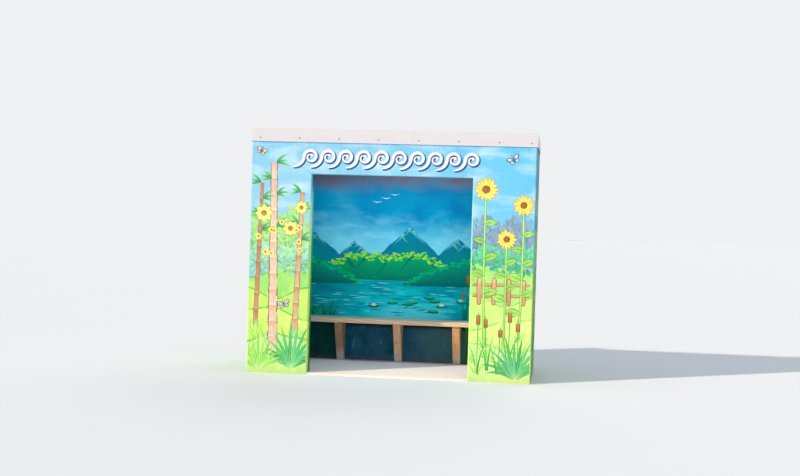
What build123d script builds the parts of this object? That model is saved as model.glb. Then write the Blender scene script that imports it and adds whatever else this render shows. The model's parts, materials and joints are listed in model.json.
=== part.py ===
from build123d import *
from math import cos, radians, sin, tan
import os

# Roadside bus shelter: plastered masonry walls round one open room, with a doorway in the
# front wall, a timber bench along the back wall and a low metal roof behind a folded capping.
# Millimetres. X runs along the front, +Y from the front to the back, +Z up from the ground.

# Walls
shelter_width = 2700
wall_thickness = 150
room_depth = 1050
wall_top = 2322
doorway_width = 1525
doorway_height = 1900
corner_radius = 12

# Floor
floor_back_height = 32
floor_front_height = 17
floor_arris = 5

# Roof frame
roof_pitch = 5
rafter_width = 45
rafter_depth = 90
rafter_count = 5
rafter_drop = 116
ledger_width = 45
ledger_height = 90
plate_width = 90
plate_height = 45
seat_cut = 14
purlin_width = 70
purlin_height = 35
purlin_count = 3
purlin_end_margin = 90
timber_arris = 2

# Roof sheets and rear board
wave_pitch = 76
wave_height = 17
sheet_thickness = 1.2
sheet_lap_waves = 1
sheet_gap = 0.3
sheet_side_gap = 20
eave_overhang = 45
rear_board_thickness = 25
rear_board_height = 150
rear_board_lap = 40

# Folded metal capping and flashings
capping_height = 127
capping_sheet = 2
capping_stand_off = 3
capping_drip = 6
capping_fall = 6
capping_leg_gap = 8
capping_joint_x = 190
capping_joint_gap = 1
flashing_sheet = 2
flashing_head_gap = 15
flashing_cover = 85

# Bench
seat_height = 475
seat_board_width = 140
seat_board_thickness = 45
seat_board_gap = 8
seat_arris = 5
bracket_width = 75
bracket_top_depth = 262
bracket_foot_depth = 50
bracket_nose = 22
bracket_count = 3
bracket_spacing = 600
bracket_shift = -30
cleat_width = 45
cleat_height = 90

# Clearances
touch_gap = 0.3
end_gap = 3

# Places worked out from the sizes above
capping_proud = capping_stand_off + capping_sheet + capping_drip
total_depth = wall_thickness * 2 + room_depth
box_depth = capping_proud + total_depth + rear_board_thickness + eave_overhang
front_y = capping_proud - box_depth / 2
room_front_y = front_y + wall_thickness
room_back_y = room_front_y + room_depth
back_y = front_y + total_depth
half_width = shelter_width / 2
half_room = half_width - wall_thickness
half_doorway = doorway_width / 2
sheet_end_y = back_y + rear_board_thickness + eave_overhang
slope = radians(roof_pitch)
fall_per_mm = tan(slope)


def rafter_top(y):
    """Height of the rafters' top edge, which starts under the wall's top and falls to the back."""
    return wall_top - rafter_drop - (y - room_front_y) * fall_per_mm


def rafter_underside(y):
    """Height of the rafters' lower edge."""
    return rafter_top(y) - rafter_depth / cos(slope)


def floor_height(y):
    """Height of the floor, which falls towards the doorway."""
    rise = floor_back_height - floor_front_height
    return floor_front_height + rise * (y - front_y) / (room_back_y - front_y)


def roof_plane(x, y, lift):
    """Plane across the roof's fall: its X runs along the front, its Y stands off the roof."""
    off_roof = Vector(0, sin(slope), cos(slope))
    start = Vector(x, y, rafter_top(y)) + off_roof * lift
    return Plane(origin=start, x_dir=(1, 0, 0), z_dir=(0, -cos(slope), sin(slope)))


ledger_back_y = room_front_y + ledger_width
ledger_top = rafter_underside(ledger_back_y) + seat_cut
plate_front_y = room_back_y + (wall_thickness - plate_width) / 2
plate_top = rafter_underside(plate_front_y) + seat_cut
back_wall_top = plate_top - plate_height

os.makedirs("parts", exist_ok=True)


# Front wall, cast round the doorway with rounded arrises, then parted beside the doorway
with BuildPart() as front_wall:
    with BuildSketch(Plane.XZ.offset(-front_y)):
        Rectangle(shelter_width, wall_top, align=(Align.CENTER, Align.MIN))
        Rectangle(doorway_width, doorway_height, align=(Align.CENTER, Align.MIN), mode=Mode.SUBTRACT)
    extrude(amount=-wall_thickness)
    upright_edges = front_wall.edges().filter_by(Axis.Z)
    jamb_edges = upright_edges.filter_by_position(Axis.X, -half_doorway - 1, half_doorway + 1)
    soffit_edges = front_wall.edges().filter_by(Axis.X)
    soffit_edges = soffit_edges.filter_by_position(Axis.Z, doorway_height - 1, doorway_height + 1)
    outer_edges = upright_edges.filter_by_position(Axis.Y, front_y - 1, front_y + 1).sort_by(Axis.X)
    fillet(jamb_edges + soffit_edges + [outer_edges[0], outer_edges[-1]], radius=corner_radius)

left_jamb_plane = Plane.YZ.offset(-half_doorway)
right_jamb_plane = Plane.YZ.offset(half_doorway)

with BuildPart() as front_left_pier:
    add(front_wall.part)
    split(bisect_by=left_jamb_plane, keep=Keep.BOTTOM)

with BuildPart() as front_right_pier:
    add(front_wall.part)
    split(bisect_by=right_jamb_plane, keep=Keep.TOP)

with BuildPart() as front_lintel:
    add(front_wall.part)
    split(bisect_by=left_jamb_plane, keep=Keep.TOP)
    split(bisect_by=right_jamb_plane, keep=Keep.BOTTOM)


# Side walls, from the front wall to the shelter's back
def side_wall(side):
    """Wall on the left (-1) or the right (1), with its outer rear corner rounded."""
    middle_x = side * (half_width - wall_thickness / 2)
    middle_y = (room_front_y + back_y) / 2
    with BuildPart() as wall:
        with BuildSketch(Plane.XY):
            with Locations((middle_x, middle_y)):
                Rectangle(wall_thickness, back_y - room_front_y)
        extrude(amount=wall_top)
        rear_edges = wall.edges().filter_by(Axis.Z).group_by(Axis.Y)[-1].sort_by(Axis.X)
        fillet(rear_edges[0 if side < 0 else -1], radius=corner_radius)
    return wall


left_wall = side_wall(-1)
right_wall = side_wall(1)

# Back wall, between the side walls and up to the roof's wall plate
with BuildPart() as back_wall:
    with BuildSketch(Plane.XZ.offset(-room_back_y)):
        Rectangle(2 * half_room, back_wall_top, align=(Align.CENTER, Align.MIN))
    extrude(amount=-wall_thickness)

# Floor, with a tongue through the doorway and a fall towards it
with BuildPart() as floor_slab:
    with BuildSketch(Plane.YZ.offset(-half_room)):
        with BuildLine():
            Polyline(
                (front_y, 0),
                (room_back_y, 0),
                (room_back_y, floor_back_height),
                (front_y, floor_front_height),
                close=True,
            )
        make_face()
    extrude(amount=2 * half_room)
    with BuildSketch(Plane.XY):
        for side in (-1, 1):
            with Locations((side * (half_doorway + half_room) / 2, front_y + wall_thickness / 2)):
                Rectangle(half_room - half_doorway, wall_thickness)
    extrude(amount=floor_back_height, mode=Mode.SUBTRACT)
    front_arris = floor_slab.edges().filter_by(Axis.X).group_by(Axis.Y)[0].sort_by(Axis.Z)[-1]
    fillet(front_arris, radius=floor_arris)


# Roof frame: a ledger on the front wall, a plate on the back wall, rafters seated over both
with BuildPart() as front_ledger:
    with BuildSketch(Plane.YZ.offset(-half_room + end_gap)):
        with Locations((room_front_y, ledger_top)):
            Rectangle(ledger_width, ledger_height, align=(Align.MIN, Align.MAX))
    extrude(amount=2 * (half_room - end_gap))
    lower_edge = front_ledger.edges().filter_by(Axis.X).group_by(Axis.Z)[0].sort_by(Axis.Y)[-1]
    fillet(lower_edge, radius=timber_arris)

with BuildPart() as rear_wall_plate:
    with BuildSketch(Plane.YZ.offset(-half_room + end_gap)):
        with Locations((plate_front_y, plate_top)):
            Rectangle(plate_width, plate_height, align=(Align.MIN, Align.MAX))
    extrude(amount=2 * (half_room - end_gap))


def rafter(middle_x):
    """Rafter with plumb ends and level seat cuts over the ledger and the plate."""
    with BuildPart() as timber:
        with BuildSketch(Plane.YZ.offset(middle_x - rafter_width / 2)):
            with BuildLine():
                Polyline(
                    (room_front_y, rafter_underside(room_front_y)),
                    (back_y, rafter_underside(back_y)),
                    (back_y, rafter_top(back_y)),
                    (room_front_y, rafter_top(room_front_y)),
                    close=True,
                )
            make_face()
            with Locations((room_front_y, ledger_top)):
                Rectangle(ledger_width, ledger_height, align=(Align.MIN, Align.MAX), mode=Mode.SUBTRACT)
            with Locations((plate_front_y, plate_top)):
                Rectangle(plate_width, plate_height, align=(Align.MIN, Align.MAX), mode=Mode.SUBTRACT)
        extrude(amount=rafter_width)
    return timber


first_rafter_x = -half_room + end_gap + rafter_width / 2
rafter_spacing = -2 * first_rafter_x / (rafter_count - 1)
rafters = {}
for number in range(rafter_count):
    rafters[f"rafter_{number + 1}"] = rafter(first_rafter_x + number * rafter_spacing)


def purlin(y):
    """Purlin laid flat on the rafters, square to the roof's fall."""
    start = Vector(-half_room + end_gap, y, rafter_top(y))
    with BuildPart() as timber:
        across_fall = Plane(origin=start, x_dir=(0, cos(slope), -sin(slope)), z_dir=(1, 0, 0))
        with BuildSketch(across_fall):
            Rectangle(purlin_width, purlin_height, align=(Align.CENTER, Align.MIN))
        extrude(amount=2 * (half_room - end_gap))
        lower_edges = timber.edges().filter_by(Axis.X).group_by(Axis.Z)[0]
        fillet(lower_edges, radius=timber_arris)
    return timber


first_purlin_y = room_front_y + purlin_end_margin
last_purlin_y = back_y - purlin_end_margin
purlins = {}
for number in range(purlin_count):
    share = number / (purlin_count - 1)
    purlins[f"purlin_{number + 1}"] = purlin(first_purlin_y + share * (last_purlin_y - first_purlin_y))


# Roof sheets: a corrugated profile of tangent arcs, run down the fall and cut plumb at the eave
def wave_line(waves, height, backwards):
    """Run of arcs, crest and trough in turn, at a height over the purlins."""
    middle = height + wave_height / 2
    half_pitch = wave_pitch / 2
    steps = range(2 * waves)
    for step in reversed(steps) if backwards else steps:
        swing = wave_height / 2 if step % 2 else -wave_height / 2
        start_x = step * half_pitch
        ends = [(start_x, middle), (start_x + half_pitch, middle)]
        if backwards:
            ends.reverse()
        ThreePointArc(ends[0], (start_x + half_pitch / 2, middle + swing), ends[1])


def roof_sheet(left_x, waves, lift):
    """Corrugated sheet from left_x, so many waves wide, raised by lift where it laps others."""
    run = (sheet_end_y - room_front_y) / cos(slope) + wave_height
    across = roof_plane(left_x, room_front_y + end_gap, purlin_height + touch_gap + lift)
    width = waves * wave_pitch
    middle = wave_height / 2
    with BuildPart() as sheet:
        with BuildSketch(across):
            with BuildLine():
                wave_line(waves, 0, False)
                Line((width, middle), (width, middle + sheet_thickness))
                wave_line(waves, sheet_thickness, True)
                Line((0, middle + sheet_thickness), (0, middle))
            make_face()
        extrude(amount=-run)
        split(bisect_by=Plane.XZ.offset(-sheet_end_y), keep=Keep.TOP)
    return sheet


# As many waves as the room takes: two like sheets at the sides and one that laps them both
roof_waves = int(2 * (half_room - sheet_side_gap) // wave_pitch)
side_sheet_waves = (roof_waves + 2 * sheet_lap_waves) // 3
middle_sheet_waves = roof_waves + 2 * sheet_lap_waves - 2 * side_sheet_waves
lap_lift = sheet_thickness + sheet_gap
roof_crest = purlin_height + touch_gap + wave_height + sheet_thickness
left_sheet_x = -roof_waves * wave_pitch / 2
middle_sheet_x = left_sheet_x + (side_sheet_waves - sheet_lap_waves) * wave_pitch
right_sheet_x = -left_sheet_x - side_sheet_waves * wave_pitch
left_roof_sheet = roof_sheet(left_sheet_x, side_sheet_waves, 0)
middle_roof_sheet = roof_sheet(middle_sheet_x, middle_sheet_waves, lap_lift)
right_roof_sheet = roof_sheet(right_sheet_x, side_sheet_waves, 0)

# Flashings: bent angles that close the joint between the sheets and the walls round them. Their
# upstands end a gap under the walls' top, behind the capping's inner leg
front_flashing_lift = roof_crest + 2 * touch_gap + flashing_sheet
flashing_upstand = rafter_drop - front_flashing_lift / cos(slope) - flashing_head_gap


def side_flashing(side):
    """Angle along the left (-1) or right (1) wall, run down the fall on the sheets' crests."""
    start_y = room_front_y + 2 * touch_gap + flashing_sheet
    across = roof_plane(side * (half_room - touch_gap), start_y, roof_crest + touch_gap)
    with BuildPart() as angle:
        with BuildSketch(across):
            with BuildLine():
                Polyline(
                    (0, 0),
                    (-side * flashing_cover, 0),
                    (-side * flashing_cover, flashing_sheet),
                    (-side * flashing_sheet, flashing_sheet),
                    (-side * flashing_sheet, flashing_upstand),
                    (0, flashing_upstand),
                    close=True,
                )
            make_face()
        extrude(amount=-(back_y - start_y) / cos(slope) - flashing_upstand)
        split(bisect_by=Plane.XZ.offset(-back_y), keep=Keep.TOP)
    return angle


left_flashing = side_flashing(-1)
right_flashing = side_flashing(1)

# The front angle lies over the side ones, with its upstand behind the capping's inner leg
front_flashing_y = room_front_y + touch_gap
front_flashing_z = rafter_top(front_flashing_y) + front_flashing_lift / cos(slope)
front_flashing_half = half_room - 3 * touch_gap - flashing_sheet


def down_fall(distance, lift):
    """Point down the fall from the front flashing's corner and off the roof, as (y, z)."""
    y = front_flashing_y + distance * cos(slope) + lift * sin(slope)
    return (y, front_flashing_z - distance * sin(slope) + lift * cos(slope))


with BuildPart() as front_flashing:
    with BuildSketch(Plane.YZ.offset(-front_flashing_half)):
        with BuildLine():
            inner_y = front_flashing_y + flashing_sheet
            Polyline(
                (front_flashing_y, front_flashing_z),
                down_fall(flashing_cover, 0),
                down_fall(flashing_cover, flashing_sheet),
                (inner_y, front_flashing_z + flashing_sheet * (1 / cos(slope) - fall_per_mm)),
                (inner_y, front_flashing_z + flashing_upstand),
                (front_flashing_y, front_flashing_z + flashing_upstand),
                close=True,
            )
        make_face()
    extrude(amount=2 * front_flashing_half)

# Rear board, over the rafters' ends and under the sheets
rear_board_top = rafter_top(back_y) + (purlin_height - rear_board_thickness * sin(slope)) / cos(slope)
with BuildPart() as rear_board:
    with BuildSketch(Plane.XZ.offset(-back_y)):
        with Locations((0, rear_board_top)):
            Rectangle(2 * (half_room + rear_board_lap), rear_board_height, align=(Align.CENTER, Align.MAX))
    extrude(amount=-rear_board_thickness)
    drip_edge = rear_board.edges().filter_by(Axis.X).group_by(Axis.Z)[0].sort_by(Axis.Y)[-1]
    fillet(drip_edge, radius=timber_arris)


# Folded capping over the wall tops: a deep face with a kicked drip, a sloping top and an inner leg
def capping_outline():
    """Outer side of the fold, as (distance in from the wall's outer face, height)."""
    outer = -capping_stand_off - capping_sheet
    inner = wall_thickness + 2 * touch_gap + flashing_sheet + capping_sheet
    inner_top = wall_top + touch_gap + capping_sheet
    outer_top = inner_top + capping_fall
    face_bottom = outer_top - capping_height
    leg_bottom = front_flashing_z + flashing_sheet / cos(slope) + capping_leg_gap
    return [
        (outer - capping_drip, face_bottom),
        (outer, face_bottom + capping_drip),
        (outer, outer_top),
        (inner, inner_top),
        (inner, leg_bottom),
    ]


def bent_sheet(outline, sheet):
    """Corners of a sheet bent along an outline, its thickness to the right and its bends mitred."""
    corners = [Vector(*corner) for corner in outline]
    ways = [(end - start).normalized() for start, end in zip(corners, corners[1:])]
    sides = [Vector(way.Y, -way.X) for way in ways]
    inner = []
    for corner, before, after in zip(corners, [sides[0], *sides], [*sides, sides[-1]]):
        inner.append(corner + (before + after) * (sheet / (1 + before.dot(after))))
    return corners + inner[::-1]


def capping(section_plane, length):
    """One straight length of capping, run from a plane across it."""
    with BuildPart() as fold:
        with BuildSketch(section_plane):
            with BuildLine():
                Polyline(*bent_sheet(capping_outline(), capping_sheet), close=True)
            make_face()
        extrude(amount=length)
    return fold


mitre_run = wall_thickness + 3 * capping_proud
left_mitre = Plane(origin=(-half_width, front_y, 0), x_dir=(1, 1, 0), z_dir=(1, -1, 0))
right_mitre = Plane(origin=(half_width, front_y, 0), x_dir=(1, -1, 0), z_dir=(-1, -1, 0))


def across_front(x):
    """Plane across the front capping."""
    return Plane(origin=(x, front_y, 0), x_dir=(0, 1, 0), z_dir=(1, 0, 0))


front_capping_start = -half_width - mitre_run
left_run_length = capping_joint_x - capping_joint_gap / 2 - front_capping_start
front_left_run = capping(across_front(front_capping_start), left_run_length)
with BuildPart() as front_left_capping:
    add(front_left_run.part)
    split(bisect_by=left_mitre, keep=Keep.TOP)

right_run_start = capping_joint_x + capping_joint_gap / 2
right_run_length = half_width + mitre_run - right_run_start
front_right_run = capping(across_front(right_run_start), right_run_length)
with BuildPart() as front_right_capping:
    add(front_right_run.part)
    split(bisect_by=right_mitre, keep=Keep.TOP)

side_run_start_y = front_y - mitre_run
side_run = back_y - side_run_start_y
left_section = Plane(origin=(-half_width, back_y, 0), x_dir=(1, 0, 0), z_dir=(0, -1, 0))
left_side_run = capping(left_section, side_run)
with BuildPart() as left_capping:
    add(left_side_run.part)
    split(bisect_by=left_mitre, keep=Keep.BOTTOM)

right_section = Plane(origin=(half_width, side_run_start_y, 0), x_dir=(-1, 0, 0), z_dir=(0, 1, 0))
right_side_run = capping(right_section, side_run)
with BuildPart() as right_capping:
    add(right_side_run.part)
    split(bisect_by=right_mitre, keep=Keep.BOTTOM)


# Bench: two boards on raked brackets against the back wall, with a cleat at each side wall
def seat_board(back_edge_y):
    """Seat board whose back edge is at back_edge_y, with eased long edges."""
    with BuildPart() as board:
        with BuildSketch(Plane.YZ.offset(-half_room + end_gap)):
            with Locations((back_edge_y, seat_height)):
                Rectangle(seat_board_width, seat_board_thickness, align=(Align.MAX, Align.MAX))
        extrude(amount=2 * (half_room - end_gap))
        fillet(board.edges().filter_by(Axis.X), radius=seat_arris)
    return board


seat_back_board = seat_board(room_back_y - touch_gap)
seat_front_board = seat_board(room_back_y - touch_gap - seat_board_width - seat_board_gap)
seat_underside = seat_height - seat_board_thickness


def bracket(middle_x):
    """Raked bracket: deep under the seat, narrow at its foot on the floor by the wall."""
    nose_y = room_back_y - bracket_top_depth
    foot_y = room_back_y - bracket_foot_depth
    with BuildPart() as timber:
        with BuildSketch(Plane.YZ.offset(middle_x - bracket_width / 2)):
            with BuildLine():
                Polyline(
                    (room_back_y, floor_height(room_back_y)),
                    (room_back_y, seat_underside),
                    (nose_y, seat_underside),
                    (nose_y, seat_underside - bracket_nose),
                    (foot_y, floor_height(foot_y)),
                    close=True,
                )
            make_face()
        extrude(amount=bracket_width)
        front_faces = timber.faces().filter_by(Axis.X, reverse=True).sort_by(Axis.Y)[0:2]
        fillet(front_faces.edges().filter_by(Axis.X, reverse=True), radius=timber_arris)
    return timber


brackets = {}
for number in range(bracket_count):
    middle_x = bracket_shift + (number - (bracket_count - 1) / 2) * bracket_spacing
    brackets[f"bench_bracket_{number + 1}"] = bracket(middle_x)


def cleat(side):
    """Cleat on the left (-1) or the right (1) side wall, under the seat's end."""
    with BuildPart() as timber:
        with BuildSketch(Plane.YZ.offset(side * half_room)):
            with Locations((room_back_y, seat_underside)):
                Rectangle(bracket_top_depth, cleat_height, align=(Align.MAX, Align.MAX))
        extrude(amount=-side * cleat_width)
        nose_edge = timber.edges().filter_by(Axis.X).group_by(Axis.Z)[0].sort_by(Axis.Y)[0]
        chamfer(nose_edge, length=cleat_height / 2)
    return timber


bench_left_cleat = cleat(-1)
bench_right_cleat = cleat(1)

# Every piece under the name of its own file
pieces = {
    "floor_slab": floor_slab,
    "front_left_pier": front_left_pier,
    "front_right_pier": front_right_pier,
    "front_lintel": front_lintel,
    "left_wall": left_wall,
    "right_wall": right_wall,
    "back_wall": back_wall,
    "front_ledger": front_ledger,
    "rear_wall_plate": rear_wall_plate,
    **rafters,
    **purlins,
    "left_roof_sheet": left_roof_sheet,
    "middle_roof_sheet": middle_roof_sheet,
    "right_roof_sheet": right_roof_sheet,
    "front_flashing": front_flashing,
    "left_flashing": left_flashing,
    "right_flashing": right_flashing,
    "rear_board": rear_board,
    "front_left_capping": front_left_capping,
    "front_right_capping": front_right_capping,
    "left_capping": left_capping,
    "right_capping": right_capping,
    "seat_front_board": seat_front_board,
    "seat_back_board": seat_back_board,
    **brackets,
    "bench_left_cleat": bench_left_cleat,
    "bench_right_cleat": bench_right_cleat,
}
for name, piece in pieces.items():
    piece.part.label = name
    export_step(piece.part, f"parts/{name}.step")
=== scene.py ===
"""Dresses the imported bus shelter: paint, timber, steel, screws and the painted garden on its walls."""
import json
import random
from math import atan2, cos, pi, radians, sin

import bmesh
import bpy
from bpy.props import FloatProperty, FloatVectorProperty, IntProperty, PointerProperty
from mathutils import Matrix, Vector

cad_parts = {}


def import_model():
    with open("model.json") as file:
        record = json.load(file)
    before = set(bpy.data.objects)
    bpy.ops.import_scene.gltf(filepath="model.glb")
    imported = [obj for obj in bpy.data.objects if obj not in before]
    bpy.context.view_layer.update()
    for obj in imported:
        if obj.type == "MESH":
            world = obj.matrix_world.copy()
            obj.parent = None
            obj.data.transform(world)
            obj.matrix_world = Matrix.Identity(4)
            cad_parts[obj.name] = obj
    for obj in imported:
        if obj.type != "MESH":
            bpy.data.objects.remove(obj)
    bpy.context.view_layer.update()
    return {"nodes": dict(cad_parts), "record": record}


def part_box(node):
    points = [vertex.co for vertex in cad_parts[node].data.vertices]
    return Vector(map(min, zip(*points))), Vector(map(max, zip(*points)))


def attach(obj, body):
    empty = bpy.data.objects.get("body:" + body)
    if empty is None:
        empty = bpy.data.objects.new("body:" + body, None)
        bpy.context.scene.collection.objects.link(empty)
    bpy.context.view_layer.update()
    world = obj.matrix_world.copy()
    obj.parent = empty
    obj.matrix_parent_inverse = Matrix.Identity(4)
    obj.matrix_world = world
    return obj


bl_info = {
    "name": "Painted bus shelter",
    "version": (1, 0, 0),
    "blender": (4, 5, 0),
    "location": "3D View > Sidebar > Shelter",
    "description": "Builds the finishes and the painted walls of a roadside bus shelter",
    "category": "Add Mesh",
}

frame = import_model()

BODY = "root"

# Places read from the frame, in metres
PIER_LOW, PIER_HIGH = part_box("front_left_pier")
LINTEL_LOW, LINTEL_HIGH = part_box("front_lintel")
BACK_LOW, BACK_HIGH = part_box("back_wall")
SEAT_LOW, SEAT_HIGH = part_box("seat_front_board")
CAP_LOW, CAP_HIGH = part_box("front_left_capping")
FRONT_Y = PIER_LOW.y
FRONT_BACK_Y = PIER_HIGH.y
BACK_FACE_Y = BACK_LOW.y
OUTER_X = -PIER_LOW.x
PIER_MIDDLE_X = -(PIER_LOW.x + PIER_HIGH.x) / 2     # of the right pier
JAMB_X = LINTEL_HIGH.x
HEAD_Z = LINTEL_LOW.z
ROOM_X = BACK_HIGH.x
CAP_BOTTOM = CAP_LOW.z
BACK_TOP = BACK_HIGH.z

# Tops of the roof's boards at the front wall and at the back wall
ROOF_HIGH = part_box("front_ledger")[1].z + 0.09
ROOF_LOW = BACK_TOP + 0.1

ARRIS = 0.0125          # radius of the walls' rounded corners
CRISP = 0.004           # width of a crisp change between two paints
PAINT_COAT = 0.00025    # one step of a painted shape's rise over the wall
PAINT_FOOT = 0.000005   # where a painted shape starts over the wall
PAINT_MARGIN = 0.004    # bare strip between a painted shape and the edge of its wall
BED_RISE = 0.485        # foot of the rushes, just over the seat
WATER_LEVEL = 0.86      # top of the painted lake

# Chart codes of greens that the painted plants share
FIELD_GREENS = ("6cc05c", "92e05c", "bcf26a", "e0fa8c", "82d88a")
DARK_GREENS = ("2f9452", "40ac5c", "62c878", "68c8a0")
POND_GREENS = ("006058", "0a8070", "109a74", "24b884")
CROWN_GREENS = ("82e850", "b2ec60", "1cb45c", "009a60", "4cd650")

# Sheen and richness of the paint inside the room
ROOM_PAINT = (0.06, 1.08)


def tint(code):
    """Linear colour from a six-figure code as a paint chart gives it; a linear colour stays itself."""
    if not isinstance(code, str):
        return code
    parts = [int(code[i:i + 2], 16) / 255 for i in (0, 2, 4)]
    return tuple(c / 12.92 if c <= 0.04045 else ((c + 0.055) / 1.055) ** 2.4 for c in parts)


def colour_property(name, description, code):
    """Colour setting with its default from a paint chart code."""
    return FloatVectorProperty(name=name, description=description, subtype="COLOR", size=3,
                               min=0, max=1, default=tint(code))


def size_property(name, description, metres):
    """Length setting in metres."""
    return FloatProperty(name=name, description=description, default=metres, min=0,
                         unit="LENGTH", precision=4)


def angle_property(name, description, degrees):
    """Angle setting, given in degrees."""
    return FloatProperty(name=name, description=description, subtype="ANGLE", default=radians(degrees))


class ShelterColours(bpy.types.PropertyGroup):
    """Paint and finish colours that a user would change."""
    sky_high: colour_property("High sky", "Front wall's sky under the capping", "8accee")
    sky_low: colour_property("Low sky", "Front wall's sky over the hills", "a8d9ea")
    far_hill: colour_property("Far hill", "Hazy hill behind the others", "8ed4c0")
    hill_one: colour_property("Upper hill", "Highest green hill", "a6ea78")
    hill_two: colour_property("Middle hill", "Middle green hill", "c8f478")
    hill_three: colour_property("Lower hill", "Yellow-green hill", "daf880")
    meadow: colour_property("Meadow", "Grass at the wall's foot", "cef89c")
    hill_line: colour_property("Hill line", "Brushed line along each hill", "56b552")
    dusk: colour_property("Dusk", "Top of the back wall's sky", "767a90")
    deep_sky: colour_property("Deep sky", "Middle of the back wall's sky", "1292b8")
    pale_sky: colour_property("Pale sky", "Back wall's sky over the hills", "8adeee")
    water: colour_property("Water", "Back wall's lake", "00c2cc")
    under_seat: colour_property("Under the seat", "Back wall under the bench", "125073")
    rear_paint: colour_property("Rear paint", "Outside of the back wall", "9fb7a2")
    capping: colour_property("Capping", "Folded metal capping", "d9d6d6")
    concrete: colour_property("Concrete", "Floor slab", "ffe4dc")
    seat: colour_property("Seat timber", "Stained seat boards", "f0ceb2")
    bracket: colour_property("Bracket timber", "Stained bench brackets", "ffcea6")
    frame_timber: colour_property("Frame timber", "Sawn roof timbers", "cda873")
    steel: colour_property("Roof steel", "Galvanised roof sheets", "b3b9bd")


class ShelterSizes(bpy.types.PropertyGroup):
    """Sizes of the painted and fixed details."""
    screw_head: size_property("Screw head", "Width of a roofing screw's head", 0.010)
    screw_washer: size_property("Screw washer", "Width of a roofing screw's washer", 0.018)
    capping_screw_spacing: size_property("Capping screws", "Distance between capping screws", 0.378)
    scroll_pitch: size_property("Scroll pitch", "Length of one running wave", 0.17)
    scroll_height: size_property("Scroll height", "Height of the running waves", 0.165)
    scroll_waves: IntProperty(name="Scroll waves", description="How many running waves", default=10, min=1)


class ShelterStage(bpy.types.PropertyGroup):
    """Camera and light."""
    camera_side: size_property("Camera side", "Camera's distance right of the middle", 1.605)
    camera_distance: size_property("Camera distance", "Camera's distance from the front wall", 12.47)
    camera_height: size_property("Camera height", "Camera's height over the ground", 1.536)
    camera_turn: angle_property("Turn", "Camera's turn to the left", 6.916)
    camera_tip: angle_property("Tip", "Camera's tip upwards", -0.975)
    camera_roll: angle_property("Roll", "Camera's roll", 1.685)
    camera_lens: FloatProperty(name="Lens", description="Focal length in millimetres", default=60.2,
                               min=1, unit="CAMERA")
    background: colour_property("Background", "Pale background that the camera sees", "eff1f3")


# Shader arithmetic

def operator(operation, swapped=False):
    """Python operator that adds a Math node; swapped is for a Value on the operator's right."""
    def apply(self, other):
        return self.maths(operation, *((other, self) if swapped else (self, other)))
    return apply


class Value:
    """A shader socket that takes part in Python sums: each operator adds its Math node."""
    __add__ = operator("ADD")
    __radd__ = operator("ADD", swapped=True)
    __sub__ = operator("SUBTRACT")
    __rsub__ = operator("SUBTRACT", swapped=True)
    __mul__ = operator("MULTIPLY")

    def __init__(self, shader, socket):
        self.shader = shader
        self.socket = socket

    def __abs__(self):
        return self.maths("ABSOLUTE", self)

    def maths(self, operation, *terms, clamp=False):
        settings = {"operation": operation, "use_clamp": clamp}
        return self.shader.node("ShaderNodeMath", settings, dict(enumerate(terms)))

    def sine(self):
        return self.maths("SINE", self)

    def clamped(self):
        return self.maths("ADD", self, 0, clamp=True)

    def above(self, edge, soft):
        """0 under edge and 1 over it, with a change as wide as soft."""
        return self.maths("MULTIPLY_ADD", self - edge, 1 / soft, 0.5, clamp=True)

    def under(self, edge, soft):
        """1 under edge and 0 over it."""
        return self.above(edge, -soft)


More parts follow.
